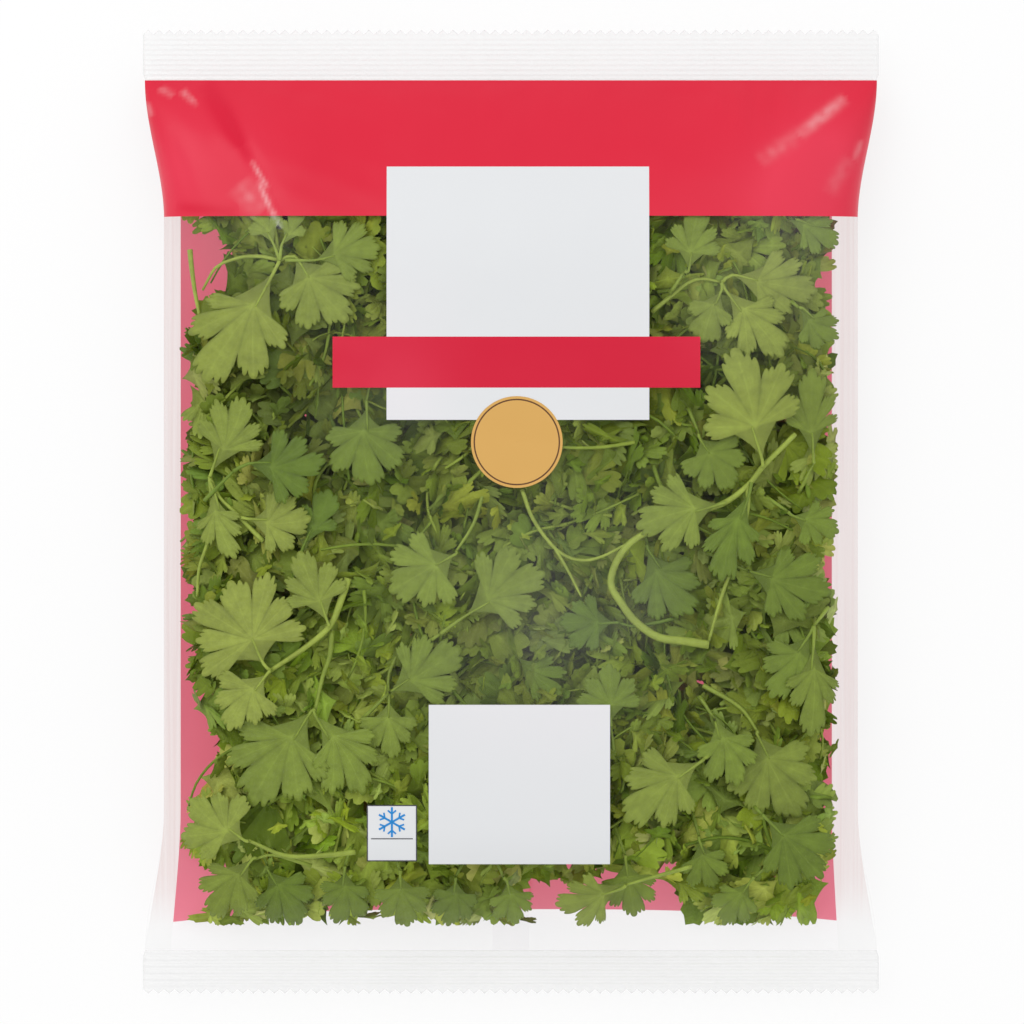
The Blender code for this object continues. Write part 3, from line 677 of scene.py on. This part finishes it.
def leaf_material(name, gloss, plain=None):
    """Leaves and stems: each vertex's own tint, or two plain ones, mottled finely, with a soft sheen."""
    material, tree, shader, _ = new_material(name)
    if plain is None:
        source = painted(tree)
    else:
        source = mix_colour(tree, noise(tree, 90.0), opaque(plain[0]), opaque(plain[1]))
    mottle = ramp(tree, noise(tree, 260.0, 6.0, 0.7), 0.3, 0.7, 0.80, 1.16)
    base = add(tree, "VectorMath", source, operation="SCALE", Scale=mottle)
    height = noise(tree, 420.0, 4.0, 0.6)
    relief = add(tree, "Bump", Strength=0.6, Distance=0.0008, Height=height)
    feed_named(tree, shader, {"Base Color": base, "Normal": relief})
    feed_named(tree, shader, {"Roughness": 0.5, "Specular IOR Level": gloss})
    return material


# The bag's film


def film_column(x_at_waist, y):
    """Where a line along the film that lies x_at_waist from the middle at the waist is at this height."""
    share = max(0.0, abs(x_at_waist) - STRAIGHT_HALF) / (WAIST_HALF - STRAIGHT_HALF)
    flare = (half_width(y) - WAIST_HALF) * share**FLARE_CURVE
    return math.copysign(abs(x_at_waist) + flare, x_at_waist)


def front_print(column, y):
    """Slot of a front face: 0 clear, 1 red, 2 white, 3 the strip's red."""
    if inside(STRIP, column, y):
        return 3
    if inside(LABEL, column, y) or inside(PANEL, column, y):
        return 2
    return 1 if y > BAND_LOW else 0


def build_front(materials):
    marks_x = [edge for box in (LABEL, STRIP, PANEL) for edge in box[:2]]
    marks_y = [edge for box in (LABEL, STRIP, PANEL) for edge in box[2:]] + [BAND_LOW]
    near_fold = [WAIST_HALF * (1 - 0.5 * (1 - k / 9) ** 2 * 0.12) for k in range(9)]
    fine = FRONT_STEP / 2
    columns = stops(-STRAIGHT_HALF, STRAIGHT_HALF, FRONT_STEP, marks_x)
    beside = stops(STRAIGHT_HALF, WAIST_HALF, fine)
    columns = sorted({*columns, *beside, *(-c for c in beside), *near_fold, *(-c for c in near_fold)})
    rows = stops(LOW_SEAM, 66.0, FRONT_STEP, marks_y) + stops(66.0, TOP_SEAM, fine, marks_y)[1:]
    vertices, wear_and_light = [], []
    for y in rows:
        x = np.array([film_column(c, y) for c in columns])
        z = front_surface(x, y)
        vertices += [(a, y, b) for a, b in zip(x, z)]
        # Each point's scuffs, painted highlights and painted shade, then its haze
        wear_and_light += list(zip(scuff_and_painted_light(x, y), haze_amount(x, y), np.zeros(len(x))))
    slots = []
    for y0, y1 in zip(rows, rows[1:]):
        for c0, c1 in zip(columns, columns[1:]):
            slots.append(front_print((c0 + c1) / 2, (y0 + y1) / 2))
    faces = grid_faces(len(rows), len(columns))
    return to_object("film_front", vertices, faces, materials, slots, np.array(wear_and_light))


def bend_low_edge(x, y):
    """The back's rows, dipping towards the corners so that one of them follows the print's low edge."""
    above = smooth((-80 - y) / (-80 - BACK_LOW))
    below = (y - LOW_SEAM) / (BACK_LOW - LOW_SEAM)
    return y - 3.2 * (abs(x) / 90) ** 3 * min(above, below, 1.0)


def build_back(name, columns, lift, printed_from, materials):
    """One side of the back, from its fold to the lap seam, in plain, side and inked film."""
    rows = stops(LOW_SEAM, TOP_SEAM, BACK_STEP, [BACK_LOW])
    vertices, side_light_fade = [], []
    for y in rows:
        for c in columns:
            x = film_column(c, y)
            y_here = bend_low_edge(x, y)
            z = film_low(x, y_here) + (lift if abs(c) < LAP_END + 1 else 0.0)
            vertices.append((x, y_here, z))
            # Where the sides' painted pink reflection and highlight streaks show, fading out at the low end
            side_light_fade.append([smooth((y_here + 114) / 16)] * 3)
    slots = []
    for y in rows[:-1]:
        for c0, c1 in zip(columns, columns[1:]):
            beside = not BACK_LEFT < (c0 + c1) / 2 < BACK_RIGHT
            printed = y > BACK_LOW - 0.1 and (c0 + c1) / 2 > printed_from
            slots.append(1 if beside else 2 if printed else 0)
    faces = grid_faces(len(rows), len(columns), flip=True)
    return to_object(name, vertices, faces, materials, slots, np.array(side_light_fade))


def build_seal(name, inner_edge, outer_edge, pitch, ridge_height, material):
    """A crimped seal: ridges across it and a pinked outer edge."""
    out = math.copysign(1.0, outer_edge)
    tooth = BAG_WIDTH / TEETH
    half_steps = [-BAG_WIDTH / 2 + k * tooth / 2 for k in range(2 * TEETH + 1)]
    flat = abs(outer_edge - inner_edge) - TOOTH_DEPTH
    along = stops(0.0, flat, pitch / 6)
    rows = []
    for d in along:
        crimp = smooth(d / 1.5) * smooth((flat - d) / 0.8)
        z = SEAL_HEIGHT + ridge_height * crimp * math.sin(math.tau * d / pitch)
        width = (FOLD_HALF + (BAG_WIDTH / 2 - FOLD_HALF) * smooth(d / 2.0)) / (BAG_WIDTH / 2)
        rows.append([(x * width, inner_edge + out * d, z) for x in half_steps])
    pinked = [outer_edge - out * TOOTH_DEPTH * (k % 2 == 0) for k in range(len(half_steps))]
    rows.append([(x, y, SEAL_HEIGHT) for x, y in zip(half_steps, pinked)])
    vertices = [point for row in rows for point in row]
    seal = to_object(name, vertices, grid_faces(len(rows), len(half_steps), flip=out < 0), [material])
    skin = seal.modifiers.new("thickness", "SOLIDIFY")
    skin.thickness = SEAL_SKIN * MM
    skin.offset = 0.0
    return seal


# Ink laid on the front as small sheets that follow the film


def laid_flat(points, layers=1):
    points = np.asarray(points, float)
    return np.column_stack([points, front_surface(*points.T) + layers * INK_LIFT])


def ring_sheet(name, centre, radii, materials, slots):
    """A disc as circles of points on the film, each ring of faces in the material of its slot."""
    turns = [math.tau * k / RING_STEPS for k in range(RING_STEPS)]
    points = [towards(centre, radius, turn) for radius in radii for turn in turns]
    faces = grid_faces(len(radii), RING_STEPS, flip=True, closed=True)
    to_object(name, laid_flat(points), faces, materials, np.repeat(slots, RING_STEPS))


def bar(points, faces, start, end, width, steps=4):
    """Adds a straight bar to a sheet, in pieces short enough to follow the film."""
    (ax, ay), (bx, by) = start, end
    length = math.dist(start, end)
    nx, ny = -(by - ay) / length * width / 2, (bx - ax) / length * width / 2
    first = len(points)
    for k in range(steps + 1):
        x, y = ax + (bx - ax) * k / steps, ay + (by - ay) * k / steps
        points += [(x - nx, y - ny), (x + nx, y + ny)]
    for k in range(steps):
        a = first + 2 * k
        faces.append((a, a + 2, a + 3, a + 1))


def build_mark(white, dark, blue):
    """A plain storage mark: a white square with a thin frame, a line across it and a six-armed flake."""
    left, right, low, high = MARK
    xs, ys = stops(left, right, 1.5), stops(low, high, 1.5)
    ground = [(x, y) for y in ys for x in xs]
    to_object("mark_ground", laid_flat(ground), grid_faces(len(ys), len(xs)), [white])
    points, faces = [], []
    corners = [(left, low), (right, low), (right, high), (left, high), (left, low)]
    for a, b in zip(corners, corners[1:]):
        bar(points, faces, a, b, 0.3, 10)
    divide = low + 0.4 * (high - low)
    bar(points, faces, (left + 1.0, divide), (right - 1.0, divide), 0.25, 8)
    to_object("mark_lines", laid_flat(points, 2), faces, [dark])
    points, faces = [], []
    centre, reach = ((left + right) / 2, (divide + high) / 2), 0.27 * (high - low)
    for arm in range(6):
        turn = math.radians(90 + 60 * arm)
        bar(points, faces, centre, towards(centre, reach, turn), 0.55)
        fork = towards(centre, 0.55 * reach, turn)
        for side in (-50, 50):
            bar(points, faces, fork, towards(fork, 0.36 * reach, turn + math.radians(side)), 0.45)
    to_object("mark_flake", laid_flat(points, 2), faces, [blue])


# Leaves and stems


class Growth:
    """Collects leaves and stems into one mesh."""

    def __init__(self):
        self.vertices, self.faces, self.colours, self.count = [], [], [], 0

    def add(self, vertices, faces, colours):
        self.vertices.append(vertices)
        self.colours.append(colours)
        self.faces += [tuple(i + self.count for i in face) for face in faces]
        self.count += len(vertices)

    def build(self, name, material):
        vertices, colours = np.vstack(self.vertices), np.vstack(self.colours)
        return to_object(name, vertices, self.faces, [material], None, colours)


def leaf_outline(spread, lobes, rim, random):
    """The rim of a blade one unit long: points, the place of each in its lobe, and its lobe.

    The lobes stand round 0, where they meet, and a tail that narrows runs back from them to the base.
    """
    ahead, aside = 1 - MEETING, np.interp(spread, *HALF_WIDTHS)
    lobed = math.radians(spread + LOBED_BEYOND + random.uniform(-8, 8))
    widths = random.uniform(0.8, 1.15, lobes)
    widths[lobes // 2] *= 1.2
    edges = lobed * (2 * np.concatenate([[0], np.cumsum(widths)]) / widths.sum() - 1)
    points, shares, owners = [], [], []
    for lobe in range(lobes):
        middle, half_lobe = (edges[lobe] + edges[lobe + 1]) / 2, (edges[lobe + 1] - edges[lobe]) / 2
        tip = ahead * aside / math.hypot(aside * math.cos(middle), ahead * math.sin(middle))
        if lobe != lobes // 2:
            tip *= random.uniform(0.95, 1.15)
        for side in (-1, 1):
            teeth = (1.0, random.uniform(0.94, 1.03), random.uniform(0.92, 1.04))
            at_tail = lobe + (side > 0) in (0, lobes)
            low = tip * (0.42 if at_tail else random.uniform(0.38, 0.78))
            for share, height, tooth in rim if side > 0 else rim[::-1]:
                if (side > 0 and share == 0.0) or (side < 0 and share == 1.0 and lobe):
                    continue
                reach = tip * height * teeth[tooth] if share < 1.0 else low
                turn = middle + side * half_lobe * share
                points.append(towards((0, 0), reach, turn))
                shares.append(share)
                owners.append(lobe)
    points = np.array(points)
    tails = []
    for (x, y), order in ((points[-1], TAIL), (points[0], TAIL[::-1])):
        tails.append([(x - (x + MEETING) * t, y * (1 - t) ** TAIL_CURVE) for t in order])
    points = np.vstack([points, tails[0], [(-MEETING, 0.0)], tails[1]])
    shares += [1.0] * (2 * len(TAIL) + 1)
    owners += [lobes] * (2 * len(TAIL) + 1)
    return points, np.array(shares), np.array(owners)


def leaf_colours(shares, owners, rings, tone, random):
    """The blade's colours from its middle out: paler veins, one to each tooth, a shade for each lobe, and
    painted shade where the lobes meet.
    """
    light, mid, deep = (np.array(c) for c in (LEAF_LIGHT, LEAF_MID, LEAF_DEEP))
    body = light + (mid - light) * tone * 2 if tone < 0.5 else mid + (deep - mid) * (tone * 2 - 1)
    body = body * random.uniform(0.93, 1.07)
    vein = body * 1.15 + np.array(VEIN_GAIN)
    lobe_shades = random.uniform(0.94, 1.06, owners.max() + 1)[owners]
    rows = [vein[None, :]]
    for s in rings:
        main = np.exp(-((shares / 0.07) ** 2)) * (1.1 - 0.7 * s)
        to_teeth = sum(np.exp(-(((shares - at * s) / 0.06) ** 2)) for at in (0.42, 0.72))
        amount = np.minimum(1.0, main + 0.5 * to_teeth * smooth((s - 0.25) * 3) * (1.15 - s))
        # Painted shade in the narrow slits between the lobes
        painted_sinus_shade = (0.1 + 0.14 * s) * smooth((shares - 0.72) / 0.28)
        plain = body * (lobe_shades * (1.02 - 0.04 * s - painted_sinus_shade))[:, None]
        rows.append(plain + (vein - plain) * amount[:, None])
    return np.vstack(rows)


def leaf_plan(base, tip, spread, lobes, rim, rings, tone, random):
    """A blade's points (x, y), its relief and colour at each, the faces of its upper side, and its rim."""
    heading, length = math.atan2(tip[1] - base[1], tip[0] - base[0]), math.dist(base, tip)
    outline, shares, owners = leaf_outline(spread, lobes, rim, random)
    colours = leaf_colours(shares, owners, rings, tone, random)
    unit = np.vstack([np.zeros((1, 2)), *(outline * s for s in rings)])
    u, v = unit[:, 0] + MEETING, unit[:, 1].copy()
    v += random.uniform(-0.3, 0.3) * u * (u - 1)
    fold = 0.14 * np.sin(math.pi * shares) + 0.05 * np.cos(3.5 * math.pi * shares)
    relief = np.concatenate([[0.0], *(fold * s * s for s in rings)]) * length / 20
    relief -= random.uniform(0.0, 0.9) * (unit[:, 0] ** 2 + unit[:, 1] ** 2)
    relief += random.uniform(-0.01, 0.05) * length * np.abs(v)
    x = base[0] + length * (u * math.cos(heading) - v * math.sin(heading))
    y = base[1] + length * (u * math.sin(heading) + v * math.cos(heading))
    n = len(outline)
    faces = [(0, 1 + j, 1 + (j + 1) % n) for j in range(n)]
    faces += grid_faces(len(rings), n, flip=True, closed=True, first=1)
    rim_at = [1 + (len(rings) - 1) * n + j for j in range(n)]
    return np.column_stack([x, y]), relief, colours, faces, rim_at


def keep_inside(xy):
    y = np.clip(xy[:, 1], LOW_SEAM + END_LIMIT, TOP_SEAM - END_LIMIT)
    reach = half_width(y) * SIDE_LIMIT
    return np.column_stack([np.clip(xy[:, 0], -reach, reach), y])


def push_inside(xy, left, right):
    """A leaf moved as a whole until it lies between these sides and the ends of the bag."""
    low, high = (left, LOW_SEAM + END_LIMIT), (right, TOP_SEAM - END_LIMIT)
    over = np.maximum(0.0, xy.max(axis=0) - high)
    return xy + (np.maximum(0.0, low - xy.min(axis=0)) - over)


def add_leaf(growth, base, tip, spread, depth, tone, random, lobes, lift):
    """A front blade, with a thickness, lying depth under the film."""
    xy, relief, colours, faces, rim = leaf_plan(base, tip, spread, lobes, LOBE_RIM, RINGS, tone, random)
    xy = push_inside(xy, LEAVES_LEFT, LEAVES_RIGHT)
    top = film_high(*xy.T) - depth + relief + lift
    top = np.minimum(top, front_surface(*xy.T) - FILM_GAP)
    upper = np.column_stack([xy, top])
    lower = np.column_stack([xy, top - BLADE_THICKNESS])
    n = len(upper)
    under = [tuple(i + n for i in face[::-1]) for face in faces]
    sides = [(b, a, a + n, b + n) for a, b in zip(rim, rim[1:] + rim[:1])]
    growth.add(np.vstack([upper, lower]), faces + under + sides, np.vstack([colours, colours * 0.9]))


def smooth_line(points, step=1.6):
    """The points joined by a smooth curve, as many short pieces."""
    points = np.asarray(points, float)
    ends = np.vstack([2 * points[0] - points[1], points, 2 * points[-1] - points[-2]])
    found = []
    for i in range(len(points) - 1):
        p0, p1, p2, p3 = ends[i : i + 4]
        count = max(2, int(np.linalg.norm(p2 - p1) / step))
        for k in range(count):
            t = k / count
            bend = (2 * p0 - 5 * p1 + 4 * p2 - p3) * t * t
            twist = (3 * p1 - p0 - 3 * p2 + p3) * t**3
            found.append(0.5 * (2 * p1 + (p2 - p0) * t + bend + twist))
    return np.array(found + [points[-1]])


def add_tube(growth, centre, radii, colour, sides=8):
    """A round stem through these points, closed at both ends."""
    centre = np.asarray(centre, float)
    ahead = np.gradient(centre, axis=0)
    ahead /= np.linalg.norm(ahead, axis=1)[:, None]
    sideways = np.cross(ahead, (0.0, 0.0, 1.0))
    sideways /= np.linalg.norm(sideways, axis=1)[:, None]
    up = np.cross(sideways, ahead)
    turns = math.tau * np.arange(sides) / sides
    rings = [centre + radii[:, None] * (math.cos(t) * sideways + math.sin(t) * up) for t in turns]
    vertices = np.stack(rings, axis=1).reshape(-1, 3)
    last = (len(centre) - 1) * sides
    ends = [tuple(range(sides))[::-1], tuple(range(last, last + sides))]
    faces = grid_faces(len(centre), sides, closed=True) + ends
    shade = 1.0 + 0.08 * np.sin(np.arange(len(vertices)) * 0.7)
    growth.add(vertices, faces, np.asarray(colour)[None, :] * shade[:, None])


def add_stem(growth, points, depth, radius, end_radius, colour, lift=0.0, dip=0.0):
    """A stem under the film, whose cut end may dip below its neighbours."""
    line = keep_inside(smooth_line(points))
    t = np.linspace(0, 1, len(line))
    z = film_high(*line.T) - depth + lift - dip * (1 - smooth(t / 0.6))
    add_tube(growth, np.column_stack([line, z]), radius + (end_radius - radius) * t, colour)


def node_depth(name):
    """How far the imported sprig's middle lies under the film."""
    x, y, z = np.array([tuple(v.co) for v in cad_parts[name].data.vertices]).T / MM
    return np.median(film_high(x, y) - z)


def stem_colour(tone):
    light, deep = np.array(STEM_LIGHT), np.array(STEM_DEEP)
    return light + (deep - light) * tone


def lobe_count(spread, length):
    size = spread * length
    return 3 if size < SMALL_LEAF else 5 if size < LARGE_LEAF else 7


def build_front_sprigs(material, random):
    """The sprigs against the front, each standing for its node. Returns how deep they reach in each cell."""
    cover = np.zeros(CELLS)
    for place, (stems, leaves) in FRONT_SPRIGS.items():
        name = "sprig_" + place
        growth = Growth()
        depth = node_depth(name)
        lightest = min(leaf[-1] for leaf in leaves)
        radii = STEM_RADII.get(place, [THIN_STEM] * len(stems))
        dip = 0.0 if place in STEM_RADII else STEM_DIP
        for points, radius in zip(stems, radii):
            add_stem(growth, points, depth, radius, radius * STEM_TAPER, stem_colour(lightest), dip=dip)
        for number, (start, base, tip, spread, tone) in enumerate(leaves):
            into = tuple(b + (t - b) * STALK_INTO_BLADE for b, t in zip(base, tip))
            lift = LEAF_LIFT + LEAF_STAGGER * (number - (len(leaves) - 1) / 2)
            stalk = [start, base, into]
            add_stem(growth, stalk, depth, STALK_RADIUS, STALK_END, stem_colour(tone), lift=lift)
            lobes = lobe_count(spread, math.dist(base, tip))
            add_leaf(growth, base, tip, spread, depth, tone, random, lobes, lift)
        sprig = growth.build(name + "_leaves", material)
        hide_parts(name)
        for vertices in growth.vertices:
            np.maximum.at(cover, cell_of(vertices), depth)
    return cover


def cell_of(vertices):
    """The row and column of the cell that each of these points is in."""
    i = np.clip(((vertices[:, 1] - CELLS_LOW) / CELL).astype(int), 0, CELLS[0] - 1)
    j = np.clip(((vertices[:, 0] - CELLS_LEFT) / CELL).astype(int), 0, CELLS[1] - 1)
    return i, j


def in_clearing(xy):
    """True at each of these points that lies in a place with no fill."""
    x, y = xy.T
    return np.any([((x - cx) / rx) ** 2 + ((y - cy) / ry) ** 2 < 1 for cx, cy, rx, ry in CLEARINGS], axis=0)


def scatter(random, spacing):
    """Places on a jittered grid over the part of the bag that holds leaves."""
    left, right, low, high = FILL_AREA
    for y in np.arange(low, high, spacing):
        for x in np.arange(left, right, spacing):
            yield x + random.uniform(0, spacing), y + random.uniform(0, spacing)


def fill_gain(x, y):
    """How light the fill is painted here: painted light just under the band, against the band's shadow,
    lighter also to the right and low down, and painted light and shade in the patches.
    """
    # Painted light under the band, where the band shades the leaves
    gain = 0.92 + 0.35 * math.exp(-max(0.0, BAND_LOW - y) / 7) + 0.08 * smooth((x + 40) / 60)
    return gain + 0.28 * smooth((-72 - y) / 15) + patches(x, y, PAINTED_LIGHT_PATCHES)


def fill_hue_and_light(x, y, shade, random):
    # The leaf's own hue and random tone, times the layer's shade and the painted light of fill_gain
    hue = np.array([random.uniform(0.90, 1.05), random.uniform(0.90, 0.98), random.uniform(0.5, 1.3)])
    return hue * shade * fill_gain(x, y) * (1.0 - 0.3 * random.uniform() ** 2)


def build_fill(material, cover, random, layer):
    """One layer of leaves behind the front sprigs, tilted every way and pressed flat against the film."""
    name, spacing, sizes, depths, tones, shade, side_gaps, flatness, rim, rings = layer
    growth = Growth()
    for x, y in scatter(random, spacing):
        length, heading = random.uniform(*sizes), random.uniform(0, math.tau)
        middle = np.array([x, y])
        ahead = length / 2 * np.array(towards((0, 0), 1, heading))
        tone = random.uniform(*tones) * (0.3 if random.uniform() < LIGHT_SHARE else 1.0)
        spread = random.uniform(*FILL_SPREADS)
        lobes = 3 if rim is DEEP_RIM else random.choice(FILL_LOBES)
        xy, relief, colours, faces, _ = leaf_plan(
            middle - ahead, middle + ahead, spread, lobes, rim, rings, tone, random
        )
        squeeze, turn = random.uniform(*flatness), random.uniform(0, math.pi)
        aside = np.array(towards((0, 0), 1, turn))
        across_line = (xy - middle) @ aside
        slope = math.sqrt(1 / squeeze**2 - 1) * random.choice([-1, 1])
        xy = xy + np.outer(across_line * (squeeze - 1), aside)
        ragged = RAGGED * random.uniform(0, 1, 2) ** 2
        xy = push_inside(xy, LEAVES_LEFT + ragged[0], LEAVES_RIGHT - ragged[1])
        at_side = abs(x) > SIDE_FROM or y < END_FROM
        if in_clearing(xy).mean() > CLEARED or (at_side and random.uniform() < side_gaps):
            continue
        front = cover[cell_of(xy)].max()
        room = film_high(*xy.T)
        depth = max(front + 1.4, 1.2) + random.uniform(*depths)
        z = room - depth + relief + across_line * squeeze * slope
        z = np.minimum(z, room - max(front + 0.4, 0.8) - random.uniform(0, 0.8))
        z = np.minimum(np.maximum(z, film_low(*xy.T) + 1.2), room - 0.6)
        # The leaf's hue, with the painted light of fill_gain
        hue = fill_hue_and_light(x, y, shade, random)
        # Painted light: deeper leaves lighter, against the shade they lie in
        lit = 1.0 + np.outer(np.clip(room - z - GAIN_FROM, 0.0, GAIN_OVER), DEPTH_PAINTED_LIGHT)
        growth.add(np.column_stack([xy, z]), faces, colours * hue * lit)
    fill = growth.build(name, material)


def build_fill_stems(material, cover, random):
    growth = Growth()
    made = 0
    while made < FILL_STEMS:
        x, y = random.uniform(-84, 82), random.uniform(-106, 84)
        heading, bend = random.uniform(0, math.tau), random.uniform(-0.5, 0.5)
        length = random.uniform(18, 48)
        points = [(x, y)]
        for _ in range(4):
            x, y = towards((x, y), length / 4, heading)
            heading += bend
            points.append((x, y))
        xs, ys = zip(*points)
        if min(xs) < LEAVES_LEFT or max(xs) > LEAVES_RIGHT or min(ys) < -112:
            continue
        made += 1
        line = keep_inside(smooth_line(points, 2.5))
        depth = cover[cell_of(line)].max() + 0.8 + random.uniform(0.0, 5.0)
        z = np.maximum(film_high(*line.T) - depth, film_low(*line.T) + 1.6)
        radius = random.uniform(0.35, 0.7)
        colour = stem_colour(random.uniform(0.2, 0.9))
        radii = np.linspace(radius, radius * 0.6, len(line))
        add_tube(growth, np.column_stack([line, z]), radii, colour, 6)
    stems = growth.build("fill_stems", material)


# The stage


def build_stage():
    """A pale floor that gives off some light of its own, as a light table does."""
    material, tree, shader, _ = new_material("floor")
    base = mix_colour(tree, noise(tree, 3.0), (0.20, 0.20, 0.20, 1.0), (0.22, 0.22, 0.22, 1.0))
    feed_named(tree, shader, {"Base Color": base, "Roughness": 0.9, "Specular IOR Level": 0.0})
    feed_named(tree, shader, {"Emission Color": (1.0, 1.0, 1.0, 1.0), "Emission Strength": 0.78})
    mesh = bpy.data.meshes.new("floor")
    corners = [(-1, -1), (1, -1), (1, 1), (-1, 1)]
    mesh.from_pydata([(FLOOR_HALF * x, FLOOR_HALF * y, 0) for x, y in corners], [], [(0, 1, 2, 3)])
    mesh.materials.append(material)
    floor = place_object("floor", mesh)
    floor.location = (0, 0, -FLOOR_GAP)


def build_light(name, place, size, power):
    lamp = bpy.data.lights.new(name, "AREA")
    lamp.shape = "RECTANGLE"
    lamp.size, lamp.size_y = size
    lamp.energy = power
    obj = place_object(name, lamp)
    obj.location = place
    obj.rotation_mode = "QUATERNION"
    obj.rotation_quaternion = (-Vector(place)).to_track_quat("-Z", "Y")


def build_camera():
    """Straight above, far away, so that the bag is seen almost without perspective."""
    frame_width, sensor, distance, focus_height = 0.2775, 36.0, 4.0, 0.02
    data = bpy.data.cameras.new("camera")
    data.sensor_width = sensor
    data.lens = sensor * distance / frame_width
    data.clip_end = 20.0
    camera = place_object("camera", data)
    camera.location = (0.0003, -0.0001, focus_height + distance)
    bpy.context.scene.camera = camera


def main():
    scene = bpy.context.scene
    scene.view_settings.view_transform = "Standard"
    world = bpy.data.worlds.new("studio")
    world.use_nodes = True
    sky = {"Color": (1.0, 1.0, 1.0, 1.0), "Strength": 0.76}
    feed_named(world.node_tree, world.node_tree.nodes["Background"], sky)
    scene.world = world
    build_stage()
    build_camera()
    build_light("key", (-0.7, 0.6, 1.2), (1.2, 1.2), 7.0)
    build_light("fill", (0.9, 0.4, 1.1), (1.8, 1.8), 2.5)

    clear = film_material("clear_film", 0.05, 0.2, 0.4, worn_and_lit=True)
    plain = film_material("back_film", 0.01, 0.1, 0.3, (0.98, 0.975, 0.98))
    # The clear sides pass a painted pink, light reflected from the print nearby, streaked with painted
    # highlights
    left_side = film_material("left_side_film", 0.02, 0.1, 0.3, (0.89, 0.79, 0.78), painted_side_light=True)
    right_side = film_material("right_side_film", 0.02, 0.1, 0.3, (0.91, 0.82, 0.815), painted_side_light=True)
    seal = film_material("crimped_film", 0.22, 0.15, 0.15, (0.985, 0.985, 0.985))
    red = ink_material("red_ink", RED_INK)
    white = ink_material("white_ink", WHITE_INK, 0.42, 0.98)
    strip_red = ink_material("strip_ink", STRIP_INK)
    back_ink = back_ink_material()
    small = [ink_material(name, ink, 0.42, worn_and_lit=False) for name, ink in SMALL_INKS.items()]
    gold, brown, blue, dark = small
    bare = ink_material("bare_ground", WHITE_INK, 0.42, 0.98, worn_and_lit=False)
    leaves = leaf_material("parsley_leaf", 0.3)
    fill_leaves = leaf_material("parsley_fill", 0.12)
    deep = leaf_material("parsley_deep", 0.12, (LEAF_DEEP, LEAF_MID))

    front = build_front([clear, red, white, strip_red])
    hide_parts("bag_film")
    print_edges = [BACK_LEFT, BACK_RIGHT]
    left = stops(-WAIST_HALF, LAP_END, BACK_STEP, print_edges)
    right = stops(-LAP_END, WAIST_HALF, BACK_STEP, [LAP_END, LAP_END + 2, *print_edges])
    backs = [
        build_back("film_back_left", left, 0.0, BACK_LEFT, [plain, left_side, back_ink]),
        build_back("film_back_right", right, LAP_LIFT, LAP_END, [plain, right_side, back_ink]),
    ]
    seals = [
        build_seal("seal_top", TOP_SEAM, BAG_LENGTH / 2, TOP_RIDGE_PITCH, TOP_RIDGE_HEIGHT, seal),
        build_seal("seal_low", LOW_SEAM, -BAG_LENGTH / 2, LOW_RIDGE_PITCH, LOW_RIDGE_HEIGHT, seal),
    ]

    rings = [0.05, 3.0, 6.0, 9.0, BADGE_RADIUS - 1.1, BADGE_RADIUS - 0.7, BADGE_RADIUS]
    ring_sheet("badge", BADGE_CENTRE, rings, [gold, brown], [0, 0, 0, 0, 1, 0])
    build_mark(bare, dark, blue)

    random = np.random.default_rng(SEED)
    cover = build_front_sprigs(leaves, random)
    for layer in FILL_LAYERS:
        build_fill(fill_leaves, cover, random, layer)
    build_fill_stems(fill_leaves, cover, random)
    for name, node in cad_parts.items():
        if name.startswith("inner_sprig"):
            node.material_slots[0].material = deep


main()
